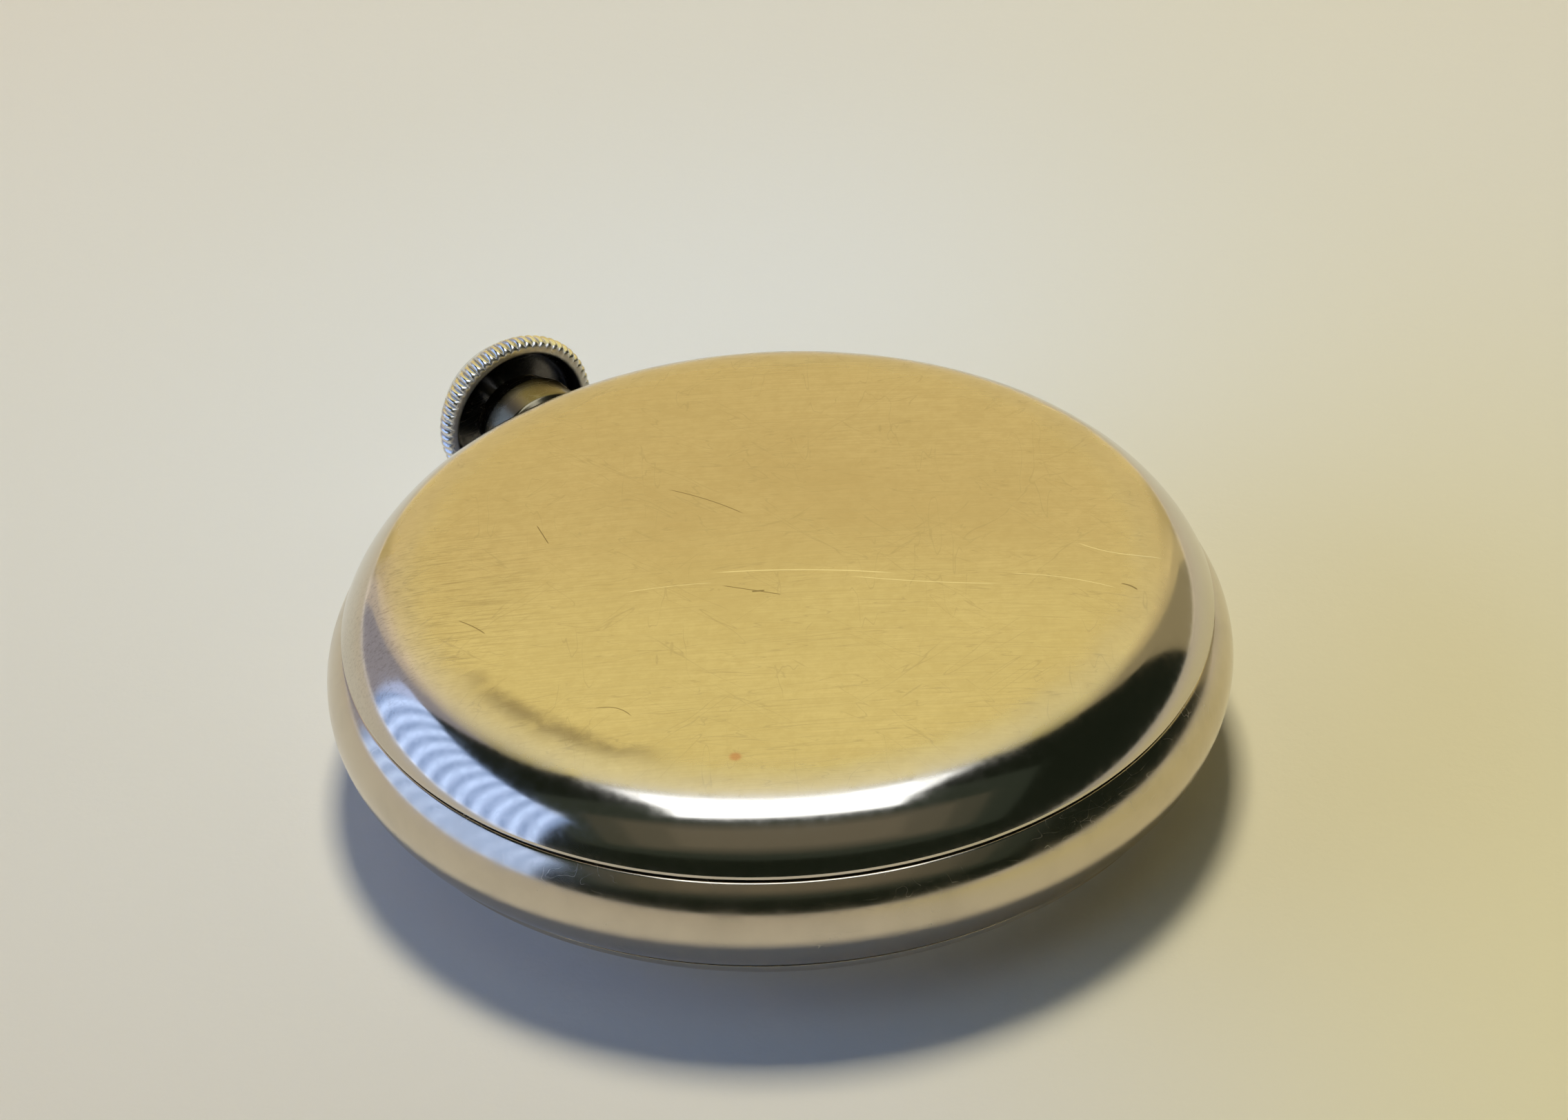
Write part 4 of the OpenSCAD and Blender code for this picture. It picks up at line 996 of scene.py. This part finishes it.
turned_to, raised, rolled = (math.radians(angle) for angle in (AZIMUTH, ELEVATION, ROLL))
to_camera = Vector((
    math.sin(turned_to) * math.cos(raised), -math.cos(turned_to) * math.cos(raised), math.sin(raised)
))
level_right = (-to_camera).cross(Vector((0, 0, 1))).normalized()
level_up = level_right.cross(-to_camera)
right = math.cos(rolled) * level_right + math.sin(rolled) * level_up
up = -math.sin(rolled) * level_right + math.cos(rolled) * level_up
axes = Matrix((right, up, to_camera)).transposed()
aim = Matrix.Rotation(math.radians(-AIM_RIGHT), 3, "Y") @ Matrix.Rotation(math.radians(AIM_UP), 3, "X")
camera = bpy.data.objects.new("camera", bpy.data.cameras.new("camera"))
scene.collection.objects.link(camera)
camera.matrix_world = Matrix.Translation(target + to_camera * DISTANCE) @ (axes @ aim).to_4x4()
camera.data.sensor_width = SENSOR
camera.data.lens = LENS
camera.data.clip_start, camera.data.clip_end = 0.005, 50.0
scene.camera = camera

# ---------- lights ----------

straight_behind = Vector((-to_camera.x, -to_camera.y, 0)).normalized()
SPREAD_APART = 0.02


def softbox(name, azimuth, elevation, width, height, color, radiance, distance=1.0):
    """A soft rectangular light; its azimuth in degrees goes from straight behind the watch to the right."""
    a, e = math.radians(azimuth), math.radians(elevation)
    way = (straight_behind * math.cos(a) + level_right * math.sin(a)) * math.cos(e)
    way += Vector((0, 0, math.sin(e)))
    data = bpy.data.lights.new(name, "AREA")
    data.shape, data.size, data.size_y = "RECTANGLE", width, height
    data.color = color
    data.energy = radiance * math.pi * width * height
    lamp = bpy.data.objects.new(name, data)
    scene.collection.objects.link(lamp)
    lamp.location = target + way * distance
    lamp.rotation_mode = "QUATERNION"
    lamp.rotation_quaternion = way.to_track_quat("Z", "Y")
    lamp.visible_camera = False
    return lamp


# These light the paper and are not seen in the metal.
lighting = [
    softbox("key", 0, 63, 0.24, 0.24, (1.0, 0.91, 0.66), 37.4),
    softbox("left_fill", -105, 19, 1.0, 0.6, (0.28, 0.48, 1.0), 1.15),
    softbox("overhead", 180, 81, 0.50, 0.50, (0.62, 0.82, 1.0), 0.38),
]
# These are seen in the metal and don't light the paper. Where they overlap, each is a little further away.
reflected = [
    softbox("rear_lift", 0, 46, 1.10, 0.35, (0.87, 1.0, 0.35), 0.16),
    softbox("overhead_glint", 180, 79, 0.78, 0.62, (0.84, 0.90, 1.0), 3.0),
]
for k in range(3):
    further = 1 + SPREAD_APART * k
    middle = ("rear_mid_%d" % k, 0, 25, 0.95 + 0.42 * k, 1.00, (1.0, 0.78, 0.32), 0.29, further)
    glow = ("rear_glow_%d" % k, 0, 65, 0.80 + 0.35 * k, 0.47, (1.0, 0.88, 0.40), 0.35, further)
    reflected += [softbox(*middle), softbox(*glow)]

# These do both: the room behind the watch, a window with a slatted blind on the left, and the room in front.
softbox("rear_left", -47, 24, 0.52, 1.00, (0.85, 0.82, 1.0), 0.40)
softbox("rear_right", 47, 26, 0.52, 1.00, (1.0, 0.84, 0.48), 0.32)
WINDOW_STRIPS = 11
WINDOW_FROM, WINDOW_SPAN = -65, 53
for k in range(WINDOW_STRIPS):
    azimuth = WINDOW_FROM - k * WINDOW_SPAN / (WINDOW_STRIPS - 1)
    softbox("window_%d" % k, azimuth, 13, 0.040, 0.68, (0.52, 0.66, 1.0), 1.5)
softbox("window_sky", -90, 13, 1.15, 0.74, (0.32, 0.50, 1.0), 0.85)
for k in range(3):
    width, height, further = 0.9 + 0.5 * k, 0.30 + 0.12 * k, 1 + SPREAD_APART * k
    softbox("front_high_%d" % k, 180, 42, width, height, (1.0, 0.80, 0.58), 0.045, further)
softbox("front_wide", 180, 46, 2.6, 0.9, (0.80, 1.0, 0.80), 0.030)

for lamp in lighting:
    lamp.visible_glossy = False
for lamp in reflected:
    lamp.visible_diffuse = False


def room_world():
    """A room that metal sees as dark above the horizon; it is pale below, and wherever the camera sees it."""
    world = bpy.data.worlds.new("room")
    scene.world = world
    world.use_nodes = True
    tree = world.node_tree
    dark = tree.nodes["Background"]
    dark.inputs[0].default_value = (0.012, 0.016, 0.010, 1)
    pale = tree.nodes.new("ShaderNodeBackground")
    pale.inputs[0].default_value = (0.66, 0.64, 0.58, 1)
    ray = tree.nodes.new("ShaderNodeLightPath")
    direction = tree.nodes.new("ShaderNodeTexCoord")
    split = tree.nodes.new("ShaderNodeSeparateXYZ")
    below = tree.nodes.new("ShaderNodeMath")
    below.operation = "LESS_THAN"
    below.inputs[1].default_value = 0.0
    either = tree.nodes.new("ShaderNodeMath")
    either.operation = "MAXIMUM"
    pick = tree.nodes.new("ShaderNodeMixShader")
    for source, socket in (
        (direction.outputs["Generated"], split.inputs[0]),
        (split.outputs[2], below.inputs[0]),
        (ray.outputs["Is Camera Ray"], either.inputs[0]),
        (below.outputs[0], either.inputs[1]),
        (either.outputs[0], pick.inputs[0]),
        (dark.outputs[0], pick.inputs[1]),
        (pale.outputs[0], pick.inputs[2]),
        (pick.outputs[0], tree.nodes["World Output"].inputs["Surface"]),
    ):
        tree.links.new(source, socket)


room_world()
scene.view_settings.view_transform = "Standard"
scene.view_settings.look = "None"
